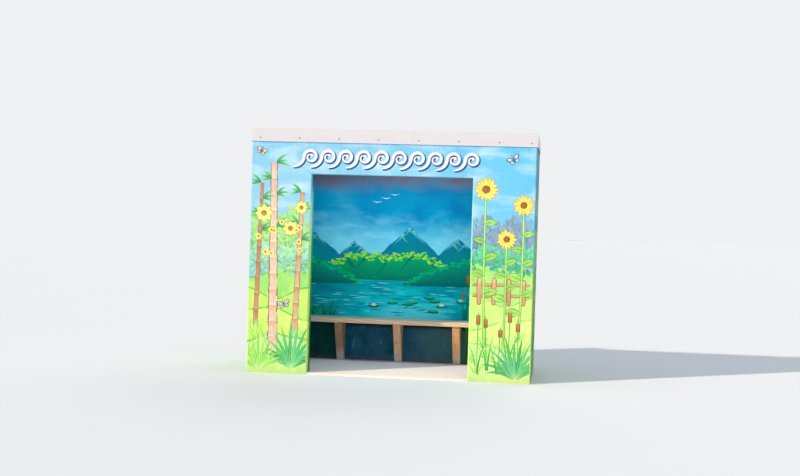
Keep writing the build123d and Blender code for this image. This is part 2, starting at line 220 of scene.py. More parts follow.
class Shader:
    """One material and the few node moves that the finishes need."""

    def __init__(self, name):
        self.material = bpy.data.materials.new(name)
        self.material.use_nodes = True
        self.tree = self.material.node_tree
        self.surface = self.tree.nodes["Principled BSDF"]
        place = self.tree.nodes.new("ShaderNodeTexCoord")
        self.place = Value(self, place.outputs["Object"])
        split = self.tree.nodes.new("ShaderNodeSeparateXYZ")
        self.tree.links.new(place.outputs["Object"], split.inputs[0])
        self.x, self.y, self.z = (Value(self, socket) for socket in split.outputs)

    def feed(self, socket, given):
        """Links a value to a socket, or sets the socket to a colour, a number or a vector."""
        if isinstance(given, Value):
            self.tree.links.new(given.socket, socket)
        elif socket.type == "RGBA":
            socket.default_value = (*tint(given), 1)
        else:
            socket.default_value = given

    def node(self, kind, settings, inputs, output=0):
        """Adds a node: its settings first, then the values or links of its sockets."""
        made = self.tree.nodes.new(kind)
        for name, setting in settings.items():
            setattr(made, name, setting)
        for key, given in inputs.items():
            self.feed(made.inputs[key], given)
        return Value(self, made.outputs[output])

    def mix(self, share, first, second):
        """Colour mix: first at 0, second at 1."""
        return self.node("ShaderNodeMix", {"data_type": "RGBA"}, {0: share, 6: first, 7: second}, 2)

    def coats(self, colour, *coats):
        """Colour with coats laid over it in turn, each given as its share and its own colour."""
        for share, coat in coats:
            colour = self.mix(share, colour, coat)
        return colour

    def brightened(self, colour, value, rich=1.0):
        """Colour times a brightness and a richness."""
        inputs = {"Saturation": rich, "Value": value, "Color": colour}
        return self.node("ShaderNodeHueSaturation", {}, inputs)

    def mapped(self, scale, shift=(0, 0, 0)):
        """Object place, stretched and shifted."""
        inputs = {"Vector": self.place, "Scale": scale, "Location": shift}
        return self.node("ShaderNodeMapping", {}, inputs)

    def noise(self, scale, detail=3, stretch=(1, 1, 1), rough=0.5, shift=(0, 0, 0), bend=0):
        """Noise from about 0 to 1."""
        inputs = {"Vector": self.mapped(stretch, shift), "Scale": scale, "Detail": detail,
                  "Roughness": rough, "Distortion": bend}
        return self.node("ShaderNodeTexNoise", {}, inputs)

    def cells(self, scale, feature="F1", stretch=(1, 1, 1), shift=(0, 0, 0), output=0):
        """Cell pattern: distance, or colour when output is 1."""
        inputs = {"Vector": self.mapped(stretch, shift), "Scale": scale}
        return self.node("ShaderNodeTexVoronoi", {"feature": feature}, inputs, output)

    def relief(self, *layers, over=None):
        """Bump of height patterns, each with its depth in metres and laid over the one before."""
        for height, depth in layers:
            inputs = {"Height": height, "Distance": depth, "Strength": 1}
            if over is not None:
                inputs["Normal"] = over
            over = self.node("ShaderNodeBump", {}, inputs)
        return over

    def finish(self, colour, rough, normal=None, metallic=0.0, **constants):
        """Feeds the surface and returns the material."""
        fed = {"Base Color": colour, "Roughness": rough, "Metallic": metallic}
        if normal is not None:
            fed["Normal"] = normal
        for name, number in constants.items():
            fed[name.replace("_", " ").title().replace("Ior", "IOR")] = number
        for name, given in fed.items():
            self.feed(self.surface.inputs[name], given)
        return self.material


# Finishes

def plaster_relief(shader):
    """Roller stipple over trowelled plaster with a few shallow hollows."""
    hollow = shader.noise(3.5, 2)
    trowel = shader.noise(18, 3, (1, 1, 0.45), shift=(3, 1, 2))
    stipple = shader.noise(420, 2)
    return shader.relief((hollow, 0.004), (trowel, 0.0009), (stipple, 0.00035))


def weathered_wall(shader, colour, rich=1.0):
    """Adds brush marks, faded patches, splash dirt at the foot and runs under the capping."""
    strokes = shader.noise(26, 4, (1, 1, 0.16), shift=(5, 0, 0))
    patches = shader.noise(2.2, 3, shift=(1, 7, 3))
    colour = shader.brightened(colour, 0.93 + strokes * 0.1 + (patches - 0.5) * 0.1, rich)
    runs = shader.noise(9, 4, (5, 5, 0.35), shift=(0, 0, 4)).above(0.66, 0.22)
    runs = runs * shader.z.above(CAP_BOTTOM - 0.32, 0.5)
    splash = (shader.z + shader.noise(14, 5, rough=0.7, shift=(2, 2, 0)) * 0.2).under(0.15, 0.14)
    specks = shader.noise(95, 2, shift=(0, 4, 0)).above(0.68, 0.05) * shader.z.under(0.3, 0.35)
    return shader.coats(colour, (runs * 0.22, "6f6a62"), (splash * 0.3, "9a8668"), (specks * 0.4, "6a5f48"))


def hill_edge(shader, along, base, swing, length, phase):
    """Height of a brushed hill line along a wall."""
    wave = (along * (2 * pi / length) + phase).sine() * swing
    second = (along * (5.1 * pi / length) + phase * 2.3).sine() * (swing * 0.3)
    rag = (shader.noise(30, 2) - 0.5) * 0.012
    return wave + second + rag + base


def landscape(shader, colours):
    """Outdoor paint: a pale sky over rolling green hills, with a brushed line along each."""
    sky = shader.mix(shader.z.above(1.55, 1.3), colours.sky_low, colours.sky_high)
    wisps = shader.noise(3.2, 5, (1, 1, 2.4), bend=0.4).above(0.60, 0.26)
    colour = shader.coats(sky, (shader.x.above(0.35, 1.9) * 0.66, "50c8f6"), (wisps * 0.55, "e4fbff"))
    hills = (
        (colours.far_hill, "8fb6c8", 1.30, 0.10, 1.9, 3.9),
        (colours.hill_one, "88d66e", 1.02, 0.09, 1.5, 0.6),
        (colours.hill_two, "aee660", 0.80, 0.07, 1.1, 2.4),
        (colours.hill_three, "c2ee66", 0.56, 0.06, 1.35, 4.4),
        (colours.meadow, "bef088", 0.33, 0.045, 0.9, 1.2),
    )
    for number, (light, shade, *line) in enumerate(hills):
        edge = hill_edge(shader, shader.x + shader.y, *line)
        streak = shader.noise(16, 3, (0.6, 0.6, 2.2), shift=(number, 2, 0))
        depth = (edge - shader.z) * 2.4
        body = shader.mix((depth * 0.7 + streak * 0.7 - 0.25).clamped(), light, shade)
        glow = shader.noise(7, 3, shift=(number, 0, 5)).above(0.56, 0.18)
        body = shader.mix(glow * 0.4, body, "e6f98c" if number else "a7dfe0")
        stroke = abs(shader.z - edge).under(0.006 + number * 0.001, 0.005)
        worn = shader.noise(12, 2, shift=(0, number, 1)).above(0.42, 0.2)
        colour = shader.coats(colour, (shader.z.under(edge, 0.006), body),
                              (stroke * worn * 0.75, colours.hill_line))
    bright = shader.x.above(0.7, 1.2) * shader.z.under(0.85, 0.6)
    return shader.mix(bright * 0.5, colour, "eafca4")


def evening_sky(shader, colours, cloud):
    """Sky of the room: pale at the horizon, deep blue over it and dusky at the top, with painted shade along
    the top of its left half.
    """
    height = shader.z + (cloud - 0.5) * 0.30
    banks = shader.noise(1.7, 4, (1, 1, 1.5), shift=(8, 3, 2), bend=0.8).above(0.50, 0.22)
    beam = shader.x + shader.y * 0.4 + (shader.z - 1.4) * 0.5 + (cloud - 0.5) * 0.5
    beam = abs(beam + 0.28).under(0.16, 0.34) * shader.z.above(1.2, 0.4)
    umber = shader.noise(6, 5, (1, 1, 2.2), shift=(2, 6, 1), bend=0.5).above(0.52, 0.2)
    # Painted shade under the roof, along the top of the left half
    painted_corner_shade = shader.z.above(1.86, 0.22) * shader.x.under(-0.05, 0.9)
    lit = shader.noise(4.1, 4, (1, 1, 2.6), shift=(1, 3, 7)).above(0.58, 0.22)
    return shader.coats(
        colours.pale_sky,
        (height.above(1.40, 0.40), colours.deep_sky),
        (banks * shader.z.above(1.42, 0.3) * 0.8, "0078ae"),
        (beam * 0.5, "62b4d2"),
        (height.above(1.83, 0.16), colours.dusk),
        (umber * height.above(1.86, 0.12) * 0.6, "7c5a62"),
        (painted_corner_shade * 0.75, "5c5560"),
        (lit * shader.z.under(1.55, 0.35) * 0.32, "b4ecfb"),
    )


def painted_lake(shader, colours, cloud):
    """Water of the room: rippled, greener far off, shining in the middle and dark on the left."""
    ripple = shader.noise(9, 4, (0.8, 0.8, 5.5), shift=(0, 0, 3)).above(0.52, 0.3)
    deep = shader.noise(3, 3, (1, 1, 4), shift=(4, 0, 0)).above(0.54, 0.2)
    shine = abs(shader.x - 0.05).under(0.36, 0.34) * shader.z.under(0.60, 0.14)
    corner = (shader.x + (cloud - 0.5) * 0.4).under(-0.62, 0.5)
    return shader.coats(
        colours.water,
        (ripple, "5fe6f0"),
        (deep * 0.75, "008fb4"),
        (shader.z.above(0.74, 0.2) * 0.5, "00949a"),
        (shine * 0.8, "74e4f2"),
        (corner * 0.6, "006878"),
    )


def under_seat(shader, colours):
    """Dark band under the seat: mottled blue, rubbed pale in places, greyer towards the right and green
    towards both ends, with a painted shadow of the seat along its top.
    """
    blotch = shader.noise(7, 5, (1, 1, 1.2), rough=0.62, shift=(6, 0, 0), bend=0.5)
    haze = shader.noise(2.4, 4, (1, 1, 0.8), shift=(0, 2, 9)).above(0.5, 0.35)
    rubbed = shader.noise(34, 3, (1, 1, 0.22), shift=(3, 0, 5)).above(0.64, 0.06) * blotch.above(0.5, 0.2)
    dark = shader.noise(19, 3, (1, 1, 0.7), shift=(0, 5, 0)).above(0.6, 0.16)
    # Painted shadow of the seat: a dark brown band along the top, just under the seat
    shade = shader.z.above(SEAT_LOW.z - 0.052, 0.03)
    ends = (abs(shader.x + 0.015) + (blotch - 0.5) * 0.08).above(0.66, 0.05)
    streak = shader.noise(30, 3, (1, 1, 0.14), shift=(7, 0, 2)).above(0.5, 0.2)
    fresh = shader.mix(streak, "1f5a18", "5cac4c")
    green = shader.coats("0c4642", (blotch.above(0.5, 0.3), "146054"),
                         (shader.x.above(0.4, 0.1) * 0.8, fresh))
    return shader.coats(
        colours.under_seat,
        (blotch.above(0.53, 0.28), "286c80"),
        (haze * 0.35, "5c8798"),
        (rubbed * 0.4, "8cb2bc"),
        (dark * 0.45, "0c3a50"),
        (shader.x.above(0.12, 0.3) * 0.5, "5f8488"),
        # painted shadow of the seat
        (shade * 0.85, "2c1812"),
        (ends * 0.88, green),
    )


def lake_view(shader, colours):
    """Indoor paint: dusk over a pale horizon, a lake under it and a dark band under the seat."""
    cloud = shader.noise(2.2, 5, (1, 1, 1.5), bend=0.6)
    sky = evening_sky(shader, colours, cloud)
    return shader.coats(sky, (shader.z.under(WATER_LEVEL, 0.01), painted_lake(shader, colours, cloud)),
                        (shader.z.under(SEAT_LOW.z, CRISP), under_seat(shader, colours)))


def over_roof(shader):
    """1 on masonry over the roof's boards, whose height falls with the rafters."""
    fall = (ROOF_HIGH - ROOF_LOW) / (BACK_HIGH.y - FRONT_BACK_Y)
    line = ROOF_HIGH - (shader.y - FRONT_BACK_Y) * fall
    return (shader.z - line).above(0, CRISP)


def wall_finish(shader, colour, sheen=0.22, rich=1.0):
    """Matt wall paint over plaster."""
    rough = 0.62 + shader.noise(8, 3) * 0.2
    colour = weathered_wall(shader, colour, rich)
    return shader.finish(colour, rough, plaster_relief(shader), specular_ior_level=sheen)


def side_outside(shader, colours):
    """Outside of the side walls: the same hills, mostly covered by a deep green and teal that is partly the
    walls' own paint and partly painted shade.
    """
    # Deep green and teal: partly the side walls' own paint, partly painted shade
    deep = shader.mix(shader.z.above(1.25, 1.0), "2c8a20", "258b94")
    return shader.mix(0.82, landscape(shader, colours), deep)


def front_paint(colours):
    """Front wall: landscape outside and round the arris, lake colours in the doorway and the room."""
    shader = Shader("front_paint")
    doorway = abs(shader.x).under(JAMB_X + CRISP, CRISP) * shader.z.under(HEAD_Z + CRISP, CRISP)
    edge = shader.mix(shader.z.above(1.66, 0.2), "d6f27a", "8ad0ea")
    brushed = (shader.y + (shader.noise(20, 4) - 0.5) * 0.05).above(FRONT_Y + 0.060, 0.03)
    reveal = shader.coats(
        "0d6a28",
        (shader.z.above(0.7, 0.9), "14a050"),
        (shader.z.above(1.36, 0.14), "62a4c4"),
        (shader.z.above(1.52, 0.12), "0a9a8c"),
        (shader.z.above(1.74, 0.10), "0f6c96"),
    )
    room_side = shader.y.above(FRONT_BACK_Y - CRISP, CRISP)
    inside = shader.coats("2fae8e", (shader.z.above(0.9, 1.4), "2a86b4"),
                          (over_roof(shader), colours.rear_paint))
    round_end = (shader.y + (shader.noise(24, 3) - 0.5) * 0.02).above(FRONT_Y + ARRIS + 0.006, 0.006)
    round_end = round_end * abs(shader.x).above(OUTER_X - 0.002, 0.002)
    return wall_finish(shader, shader.coats(
        landscape(shader, colours),
        (doorway * 0.85, edge),
        (doorway * brushed, reveal),
        (room_side, inside),
        (round_end, side_outside(shader, colours)),
    ))


def rear_coat(shader, colours):
    """Plain coat behind, with roller laps, chalky patches, runs under the board and damp at the foot."""
    laps = shader.noise(5, 3, (2.2, 1, 0.25), shift=(0, 6, 2)).above(0.5, 0.4)
    bare = shader.noise(1.7, 5, rough=0.65, shift=(3, 3, 3)).above(0.58, 0.14)
    runs = shader.noise(11, 4, (4, 1, 0.22), shift=(6, 0, 1)).above(0.57, 0.16) * shader.z.above(1.55, 0.8)
    ragged = (shader.noise(4, 5, rough=0.65, shift=(1, 2, 9)) - 0.5) * 0.55
    damp = (shader.z + ragged).under(0.2, 0.3)
    moss = shader.noise(40, 5, rough=0.7, shift=(8, 1, 1)).above(0.57, 0.08) * shader.z.under(0.24, 0.32)
    return shader.coats(colours.rear_paint, (laps * 0.6, "8ba68f"), (bare * 0.55, "bcc3b4"),
                        (runs * 0.5, "67705f"), (damp * 0.5, "717c5a"), (moss * 0.65, "596a3a"))


def side_paint(colours):
    """Side walls: landscape outside, lake view inside."""
    shader = Shader("side_paint")
    inside = abs(shader.x).under(ROOM_X + 0.02, 0.01)
    room = shader.mix(over_roof(shader), lake_view(shader, colours), colours.rear_paint)
    rear = shader.y.above(BACK_HIGH.y - 0.006, CRISP)
    return wall_finish(shader, shader.coats(side_outside(shader, colours), (inside, room),
                                            (rear, rear_coat(shader, colours))))


def back_wall_paint(colours):
    """Back wall: lake view inside, one plain coat outside."""
    shader = Shader("back_wall_paint")
    outside = shader.y.above(BACK_FACE_Y + 0.02, 0.01)
    colour = shader.mix(outside, lake_view(shader, colours), rear_coat(shader, colours))
    return wall_finish(shader, colour, *ROOM_PAINT)


def concrete(colours):
    """Trowelled floor with fine sand, stains, a lighter worn path and a painted bluish shade towards the
    back.
    """
    shader = Shader("floor_concrete")
    cloud = shader.noise(2.8, 5, rough=0.6)
    sand = shader.noise(260, 2)
    grit = shader.noise(310, 1, shift=(5, 5, 0)).above(0.66, 0.06)
    stains = shader.noise(5, 5, rough=0.7, shift=(2, 9, 0)).above(0.63, 0.08)
    path = abs(shader.x).under(0.62, 0.5) * shader.y.under(0.1, 0.6)
    crack = shader.cells(0.9, "DISTANCE_TO_EDGE", (1, 1.4, 1), shift=(0.4, 0.2, 0))
    crack = (crack + (shader.noise(22, 3) - 0.5) * 0.03).under(0.0012, 0.002)
    colour = shader.coats(
        colours.concrete,
        (cloud.above(0.5, 0.5), "f4ded4"),
        (sand.above(0.6, 0.12) * 0.5, "f1e8dc"),
        (grit * 0.6, "6b675f"),
        (stains * 0.24, "8d8272"),
        (path * 0.5, "fff0dc"),
        # Painted shade: bluish towards the back of the slab
        (shader.y.above(-0.05, 0.7) * 0.35, "d6daf4"),
        (crack * 0.25, "9a9388"),
    )
    over = shader.relief((shader.noise(30, 4, rough=0.6), 0.0012), (sand, 0.0004), (1 - crack, 0.0006))
    return shader.finish(colour, 0.78 + cloud * 0.14, over)


def timber(name, colour, dark, grain, grey_and_sheen=0.0, sawn=0.0, dust_and_painted_light=0.0):
    """Softwood whose grain runs along X, Y or Z, with knots and wear; upward faces greyed by weathering and
    by a painted reflection of the sky; and, with its dusting option, mottling, a dusty foot, painted shade
    towards the left and painted sunlight towards the right.
    """
    shader = Shader(name)
    stretch = tuple(0.09 if axis == grain else 1 for axis in "XYZ")
    bend = shader.noise(3, 3, tuple(0.3 + 0.7 * s for s in stretch))
    bands = {"wave_type": "BANDS", "bands_direction": "X" if grain == "Z" else "DIAGONAL"}
    rings = shader.node("ShaderNodeTexWave", bands, {"Vector": shader.mapped(stretch), "Scale": 24,
                                                     "Distortion": 3, "Detail": 3, "Detail Scale": 1.2}, 1)
    fibre = shader.noise(110, 4, stretch, rough=0.65)
    board = shader.noise(4, 3, stretch, shift=(3, 1, 4))
    share = (rings * 0.55 + fibre * 0.45 + board * 0.35 - 0.35).clamped()
    knots = shader.cells(7, stretch=tuple(1 if s == 1 else 0.45 for s in stretch)).under(0.10, 0.05)
    knots = knots * shader.noise(2.3, 1, shift=(9, 2, 1)).above(0.5, 0.1)
    worn = shader.noise(13, 4, rough=0.7, shift=(1, 1, 8)).above(0.6, 0.15)
    made = shader.coats(colour, (share, dark), (knots * 0.7, "5a3a26"), (worn * 0.3, "e0bd94"),
                        (bend.above(0.58, 0.2) * 0.25, dark))
    # Upward faces greyed by weathering and by a painted reflection of the sky
    if grey_and_sheen:
        normal = shader.node("ShaderNodeNewGeometry", {}, {}, 1)
        facing = shader.node("ShaderNodeSeparateXYZ", {}, {0: normal}, 2).above(0.6, 0.3)
        made = shader.mix(facing * grey_and_sheen, made, "a39c90")
    if dust_and_painted_light:
        mottle = shader.noise(38, 5, (1, 1, 0.6), rough=0.7, shift=(4, 7, 2))
        foot = (shader.z + worn * 0.05).under(0.11, 0.12)
        made = shader.coats(made, (mottle.above(0.54, 0.14) * 0.34, "96542f"),
                            (mottle.under(0.42, 0.08) * 0.3, "f2dcc2"),
                            # Painted shade on the brackets towards the left, painted sunlight on those
                            # towards the right
                            (shader.x.under(-0.33, 0.4) * 0.5, "5a3824"),
                            (shader.x.above(0.27, 0.4) * 0.5, "f6ac5c"), (foot * dust_and_painted_light, "ece2d8"))
    over = shader.relief((fibre, 0.0006 + sawn * 0.0006), (rings, 0.0005))
    if sawn:
        cuts = shader.noise(160, 2, tuple(1 if s != 1 else 0.1 for s in stretch))
        over = shader.relief((cuts, 0.0005), over=over)
    over = shader.relief((1 - knots, 0.001), over=over)
    return shader.finish(made, 0.5 + fibre * 0.3 + sawn * 0.12, over)


def capping_steel(colours):
    """Pre-painted folded sheet with faint oil-canning, chalking and dirt at its lower edge."""
    shader = Shader("capping_steel")
    patch = shader.noise(4, 3)
    low = shader.z.under(CAP_BOTTOM + 0.045, 0.06)
    runs = shader.noise(7, 4, (6, 6, 0.5), shift=(3, 0, 0)).above(0.58, 0.25)
    lichen = shader.noise(60, 3, shift=(0, 8, 2)).above(0.69, 0.05)
    lichen = lichen * shader.z.above(CAP_HIGH.z - 0.012, 0.01)
    scuff = shader.noise(70, 2, (0.5, 0.5, 1)).above(0.74, 0.04)
    colour = shader.coats(
        colours.capping,
        (patch.above(0.5, 0.6) * 0.4, "e0dbe8"),
        (runs * low * 0.12, "aaa4b0"),
        (low * 0.22, "d6cfe2"),
        (lichen * 0.7, "8a8d6f"),
        (scuff * 0.25, "bdb8c2"),
    )
    over = shader.relief((shader.noise(2.6, 2, (1, 1, 2)), 0.006), (shader.noise(160, 2), 0.0001))
    return shader.finish(colour, 0.34 + patch * 0.16, over, coat_weight=0.08, coat_roughness=0.3)


def roof_steel(colours):
    """Galvanised sheet: spangle, dull weathering down the fall and lichen specks."""
    shader = Shader("roof_steel")
    spangle = shader.node("ShaderNodeSeparateColor", {}, {0: shader.cells(140, output=1)})
    runs = shader.noise(6, 5, (9, 0.7, 0.7), rough=0.6).above(0.52, 0.25)
    rust = shader.noise(9, 5, (3, 0.6, 0.6), rough=0.7, shift=(4, 1, 0)).above(0.67, 0.07)
    lichen = shader.noise(48, 3, shift=(2, 2, 2)).above(0.68, 0.05)
    colour = shader.coats(colours.steel, (spangle * 0.55, "8f979c"), (runs * 0.45, "d3d6d3"),
                          (rust * 0.5, "8a5a3c"), (lichen * 0.6, "7f8468"))
    shine = (0.75 - runs * 0.35 - rust * 0.5 - lichen * 0.4).clamped()
    over = shader.relief((shader.noise(35, 3), 0.0004))
    return shader.finish(colour, 0.38 + runs * 0.22 + spangle * 0.08, over, shine)


def board_paint(colours):
    """Brushed exterior paint on the rear board, thin along its grain."""
    shader = Shader("painted_board")
    brush = shader.noise(60, 3, (0.06, 1, 1))
    bare = shader.noise(10, 5, (0.25, 1, 1), rough=0.7, shift=(0, 3, 3)).above(0.66, 0.05)
    colour = shader.coats(colours.capping, (brush.above(0.5, 0.5) * 0.3, "cfc9d2"), (bare * 0.8, "9a8668"))
    return shader.finish(colour, 0.5 + bare * 0.3, shader.relief((brush, 0.0005), (1 - bare, 0.0006)))


def mural_paint(name, sheen=0.22, rich=1.0):
    """Brushed wall paint: the shape's own colours, bristle marks along the stroke, and the wall's wear."""
    shader = Shader(name)
    first = shader.node("ShaderNodeAttribute", {"attribute_name": "paint"}, {})
    second = shader.node("ShaderNodeAttribute", {"attribute_name": "tip"}, {})
    brush = shader.node("ShaderNodeUVMap", {"uv_map": "brush"}, {})
    along = shader.node("ShaderNodeSeparateXYZ", {}, {0: brush})
    patch = shader.noise(38, 3)
    colour = shader.mix((along * 0.9 + (patch - 0.5) * 0.5).clamped(), first, second)
    marks = shader.node("ShaderNodeMapping", {}, {"Vector": brush, "Scale": (1.5, 9, 1)})
    bristle = shader.node("ShaderNodeTexNoise", {}, {"Vector": marks, "Scale": 2.6, "Detail": 3})
    colour = weathered_wall(shader, shader.brightened(colour, 0.86 + bristle * 0.28), rich)
    over = shader.relief((bristle, 0.0002), over=plaster_relief(shader))
    return shader.finish(colour, 0.56 + patch * 0.2, over, specular_ior_level=sheen)


def dress_nodes(materials):
    """Gives each CAD node the finish of its slot or of its own name."""
    slots = {row["node"]: row["material_slot"] for row in frame["record"]["subparts"]}
    for name, node in frame["nodes"].items():
        finish = materials.get(name) or materials[slots[name]]
        node.data.materials.clear()
        node.data.materials.append(finish)


class SHELTER_OT_finishes(bpy.types.Operator):
    """Gives every wall, board, sheet and timber its finish"""
    bl_idname = "shelter.finishes"
    bl_label = "Finishes"

    def execute(self, context):
        colours = context.scene.shelter_colours
        upright = timber("bracket_timber", colours.bracket, "d29a70", "Z", dust_and_painted_light=0.75)
        rafter = timber("rafter_timber", colours.frame_timber, "9c7546", "Y", sawn=1)
        materials = {
            "floor_concrete": concrete(colours),
            "front_paint": front_paint(colours),
            "side_paint": side_paint(colours),
            "back_wall_paint": back_wall_paint(colours),
            "frame_timber": timber("frame_timber", colours.frame_timber, "9c7546", "X", sawn=1),
            "bench_timber": timber("bench_timber", colours.seat, "bc946c", "X", grey_and_sheen=0.45),
            "painted_board": board_paint(colours),
            "roof_steel": roof_steel(colours),
            "capping_steel": capping_steel(colours),
        }
        materials.update({name: rafter for name in frame["nodes"] if name.startswith("rafter_")})
        materials.update({name: upright for name in frame["nodes"] if name.startswith("bench_bracket")})
        dress_nodes(materials)
        return {"FINISHED"}


# Pieces

def publish(name, bm, material):
    """Turns a bmesh into a piece that rides on the shelter, with the material given."""
    mesh = bpy.data.meshes.new(name)
    bm.to_mesh(mesh)
    bm.free()
    mesh.materials.append(material)
    piece = bpy.data.objects.new(name, mesh)
    bpy.context.scene.collection.objects.link(piece)
    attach(piece, BODY)


# Painted shapes

class Wall:
    """A wall face to paint on: u runs to the viewer's right and v runs up."""

    def __init__(self, start, along):
        self.start = Vector(start)
        self.along = Vector(along)
        self.out = self.along.cross(Vector((0, 0, 1)))

    def place(self, u, v, rise):
        return self.start + self.along * u + Vector((0, 0, v)) + self.out * rise


class Mural:
    """Painted shapes on one wall face, each a closed layer of paint from the wall up to its rise."""

    def __init__(self, name, wall, seed):
        self.name = name
        self.wall = wall
        self.chance = random.Random(seed)
        self.bm = bmesh.new()
        self.uv = self.bm.loops.layers.uv.new("brush")
        self.paint = self.bm.verts.layers.float_color.new("paint")
        self.tip = self.bm.verts.layers.float_color.new("tip")

    def lay(self, made, placed, colour, tip, rise):
        """Moves new vertices to their places, with their brush coordinates and colours."""
        rise = (rise + self.chance.uniform(0, 0.25)) * PAINT_COAT
        shade = self.chance.uniform(0.9, 1.1)
        first, second = ([min(1, c * shade) for c in tint(code)] for code in (colour, tip or colour))
        marks = {}
        for vert in made:
            u, v, along, across = placed(vert.co.x, vert.co.y)
            marks[vert] = (along, across)
            vert.co = self.wall.place(u, v, rise)
            vert[self.paint] = (*first, 1)
            vert[self.tip] = (*second, 1)
        for face in {face for vert in made for face in vert.link_faces}:
            for loop in face.loops:
                loop[self.uv].uv = marks[loop.vert]

    def strip(self, steps):
        """New row of faces, one wide, from -0.5 to 0.5."""
        return bmesh.ops.create_grid(self.bm, x_segments=steps, y_segments=1, size=0.5)["verts"]

    def stroke(self, path, width, colour, tip=None, rise=1.0, steps=8, ragged=0.0):
        """Brush stroke along path(t) that is width(t) wide, for t from 0 to 1."""
        step, least_half = 0.004, 0.0003
        wobble = {}

        def placed(x, y):
            t = (1 - cos((x + 0.5) * pi)) / 2
            side = 1 if y > 0 else -1
            u, v = path(t)
            du, dv = (b - a for a, b in zip(path(t - step), path(t + step)))
            length = max(1e-9, (du * du + dv * dv) ** 0.5)
            key = (round(t, 4), side)
            wobble.setdefault(key, 1 + self.chance.uniform(-ragged, ragged))
            half = max(least_half, width(t) / 2 * wobble[key]) * side
            return u - dv / length * half, v + du / length * half, t, (side + 1) / 2

        self.lay(self.strip(steps), placed, colour, tip, rise)

    def blob(self, u, v, wide, high, colour, tip=None, rise=1.0, corners=10, ragged=0.1, turn=0.0):
        """Rounded patch of paint, wide by high, with an uneven edge."""
        made = bmesh.ops.create_circle(self.bm, cap_ends=True, segments=corners, radius=1)["verts"]

        def placed(x, y):
            reach = 1 + self.chance.uniform(-ragged, ragged)
            here = swung(u, v, x * reach * wide / 2, y * reach * high / 2, turn)
            return *here, y / 2 + 0.5, x / 2 + 0.5

        self.lay(made, placed, colour, tip, rise)

    def land(self, low, high, start, end, colour, tip, rise, steps):
        """Patch of land between two height curves, low(u) and high(u)."""
        def placed(x, y):
            u = start + (end - start) * (x + 0.5)
            return u, (high(u) if y > 0 else low(u)), y + 0.5, u * 3

        self.lay(self.strip(steps), placed, colour, tip, rise)

    def trim(self, left, right, low, high):
        """Cuts off what reaches past the edges of the painted face."""
        edges = ((left, 0, -1, 0), (right, 0, 1, 0), (0, low, 0, -1), (0, high, 0, 1))
        for u, v, turn_u, turn_v in edges:
            normal = self.wall.along * turn_u + Vector((0, 0, turn_v))
            geometry = self.bm.verts[:] + self.bm.edges[:] + self.bm.faces[:]
            bmesh.ops.bisect_plane(self.bm, geom=geometry, plane_co=self.wall.place(u, v, 0),
                                   plane_no=normal, clear_outer=True)

    def finish(self, material, slot):
        """Closes every shape down to the wall and publishes the piece."""
        made = bmesh.ops.extrude_face_region(self.bm, geom=self.bm.faces[:])["geom"]
        for vert in made:
            if isinstance(vert, bmesh.types.BMVert):
                depth = (vert.co - self.wall.start).dot(self.wall.out)
                vert.co -= self.wall.out * (depth - PAINT_FOOT)
        bmesh.ops.recalc_face_normals(self.bm, faces=self.bm.faces[:])
        publish(self.name, self.bm, material)


def swung(u, v, right, up, turn):
    """Place right of and over a point, on axes that are turned."""
    return u + right * cos(turn) - up * sin(turn), v + right * sin(turn) + up * cos(turn)


def arc(u, v, angle, length, bend=0.0):
    """Path that leaves a point at an angle and turns by bend on its way."""
    def path(t):
        if abs(bend) < 1e-3:
            return u + cos(angle) * length * t, v + sin(angle) * length * t
        reach = length / bend
        return (u + reach * (sin(angle + bend * t) - sin(angle)),
                v - reach * (cos(angle + bend * t) - cos(angle)))
    return path


def leaf_width(width):
    """Width of a leaf: pointed at its tip and narrow at its stalk."""
    return lambda t: width * sin(pi * min(1, max(0, t)) ** 0.8)


def blade_width(width):
    """Width of a grass blade: full at its foot and pointed at its tip."""
    return lambda t: width * (1 - max(0, t)) ** 0.7


def steady(width):
    """Even width with round ends, each a tenth of the stroke's length."""
    def width_at(t):
        near = min(1, max(0.004, min(t, 1 - t) / 0.10))
        return width * (near * (2 - near)) ** 0.5
    return width_at


def waisted(width, flare):
    """Width of one length of cane, swollen by a share at both joints."""
    return lambda t: width * (1 + flare * abs(2 * t - 1) ** 5)


def leaf(mural, u, v, angle, length, width, colour, tip, rise, bend=0.3, rib=None):
    """Leaf with a thin rib."""
    mural.stroke(arc(u, v, angle, length, bend), leaf_width(width), colour, tip, rise, 7, 0.06)
    if rib:
        vein = arc(u, v, angle, length * 0.88, bend * 0.88)
        mural.stroke(vein, blade_width(0.005), rib, None, rise + 0.3, 5)


def tuft(mural, u, v, count, height, colours, rise, width=0.012):
    """Tuft of grass blades that fan out of one foot."""
    for _ in range(count):
        lean = mural.chance.uniform(-0.9, 0.9)
        length = height * mural.chance.uniform(0.55, 1.0)
        foot = u + mural.chance.uniform(-0.03, 0.03)
        blade = arc(foot, v, pi / 2 - lean * 0.5, length, -lean * 0.9)
        mural.stroke(blade, blade_width(width), *mural.chance.sample(colours, 2), rise, 6)


def rosette(mural, u, v, size, colours, rib, rise):
    """Long arching leaves that rise from one foot in a fan, the middle ones last."""
    count = 13
    for number in range(count):
        share = number / (count - 1)
        side = 1 if number % 2 else -1
        lean = side * (1 - share) * 1.15
        colour, tip = mural.chance.sample(colours, 2)
        length = size * (0.75 + 0.3 * share) * mural.chance.uniform(0.85, 1.1)
        leaf(mural, u + side * 0.012, v, pi / 2 - lean * 0.7, length, size * 0.075, colour, tip,
             rise + share * 0.8, -lean, rib)


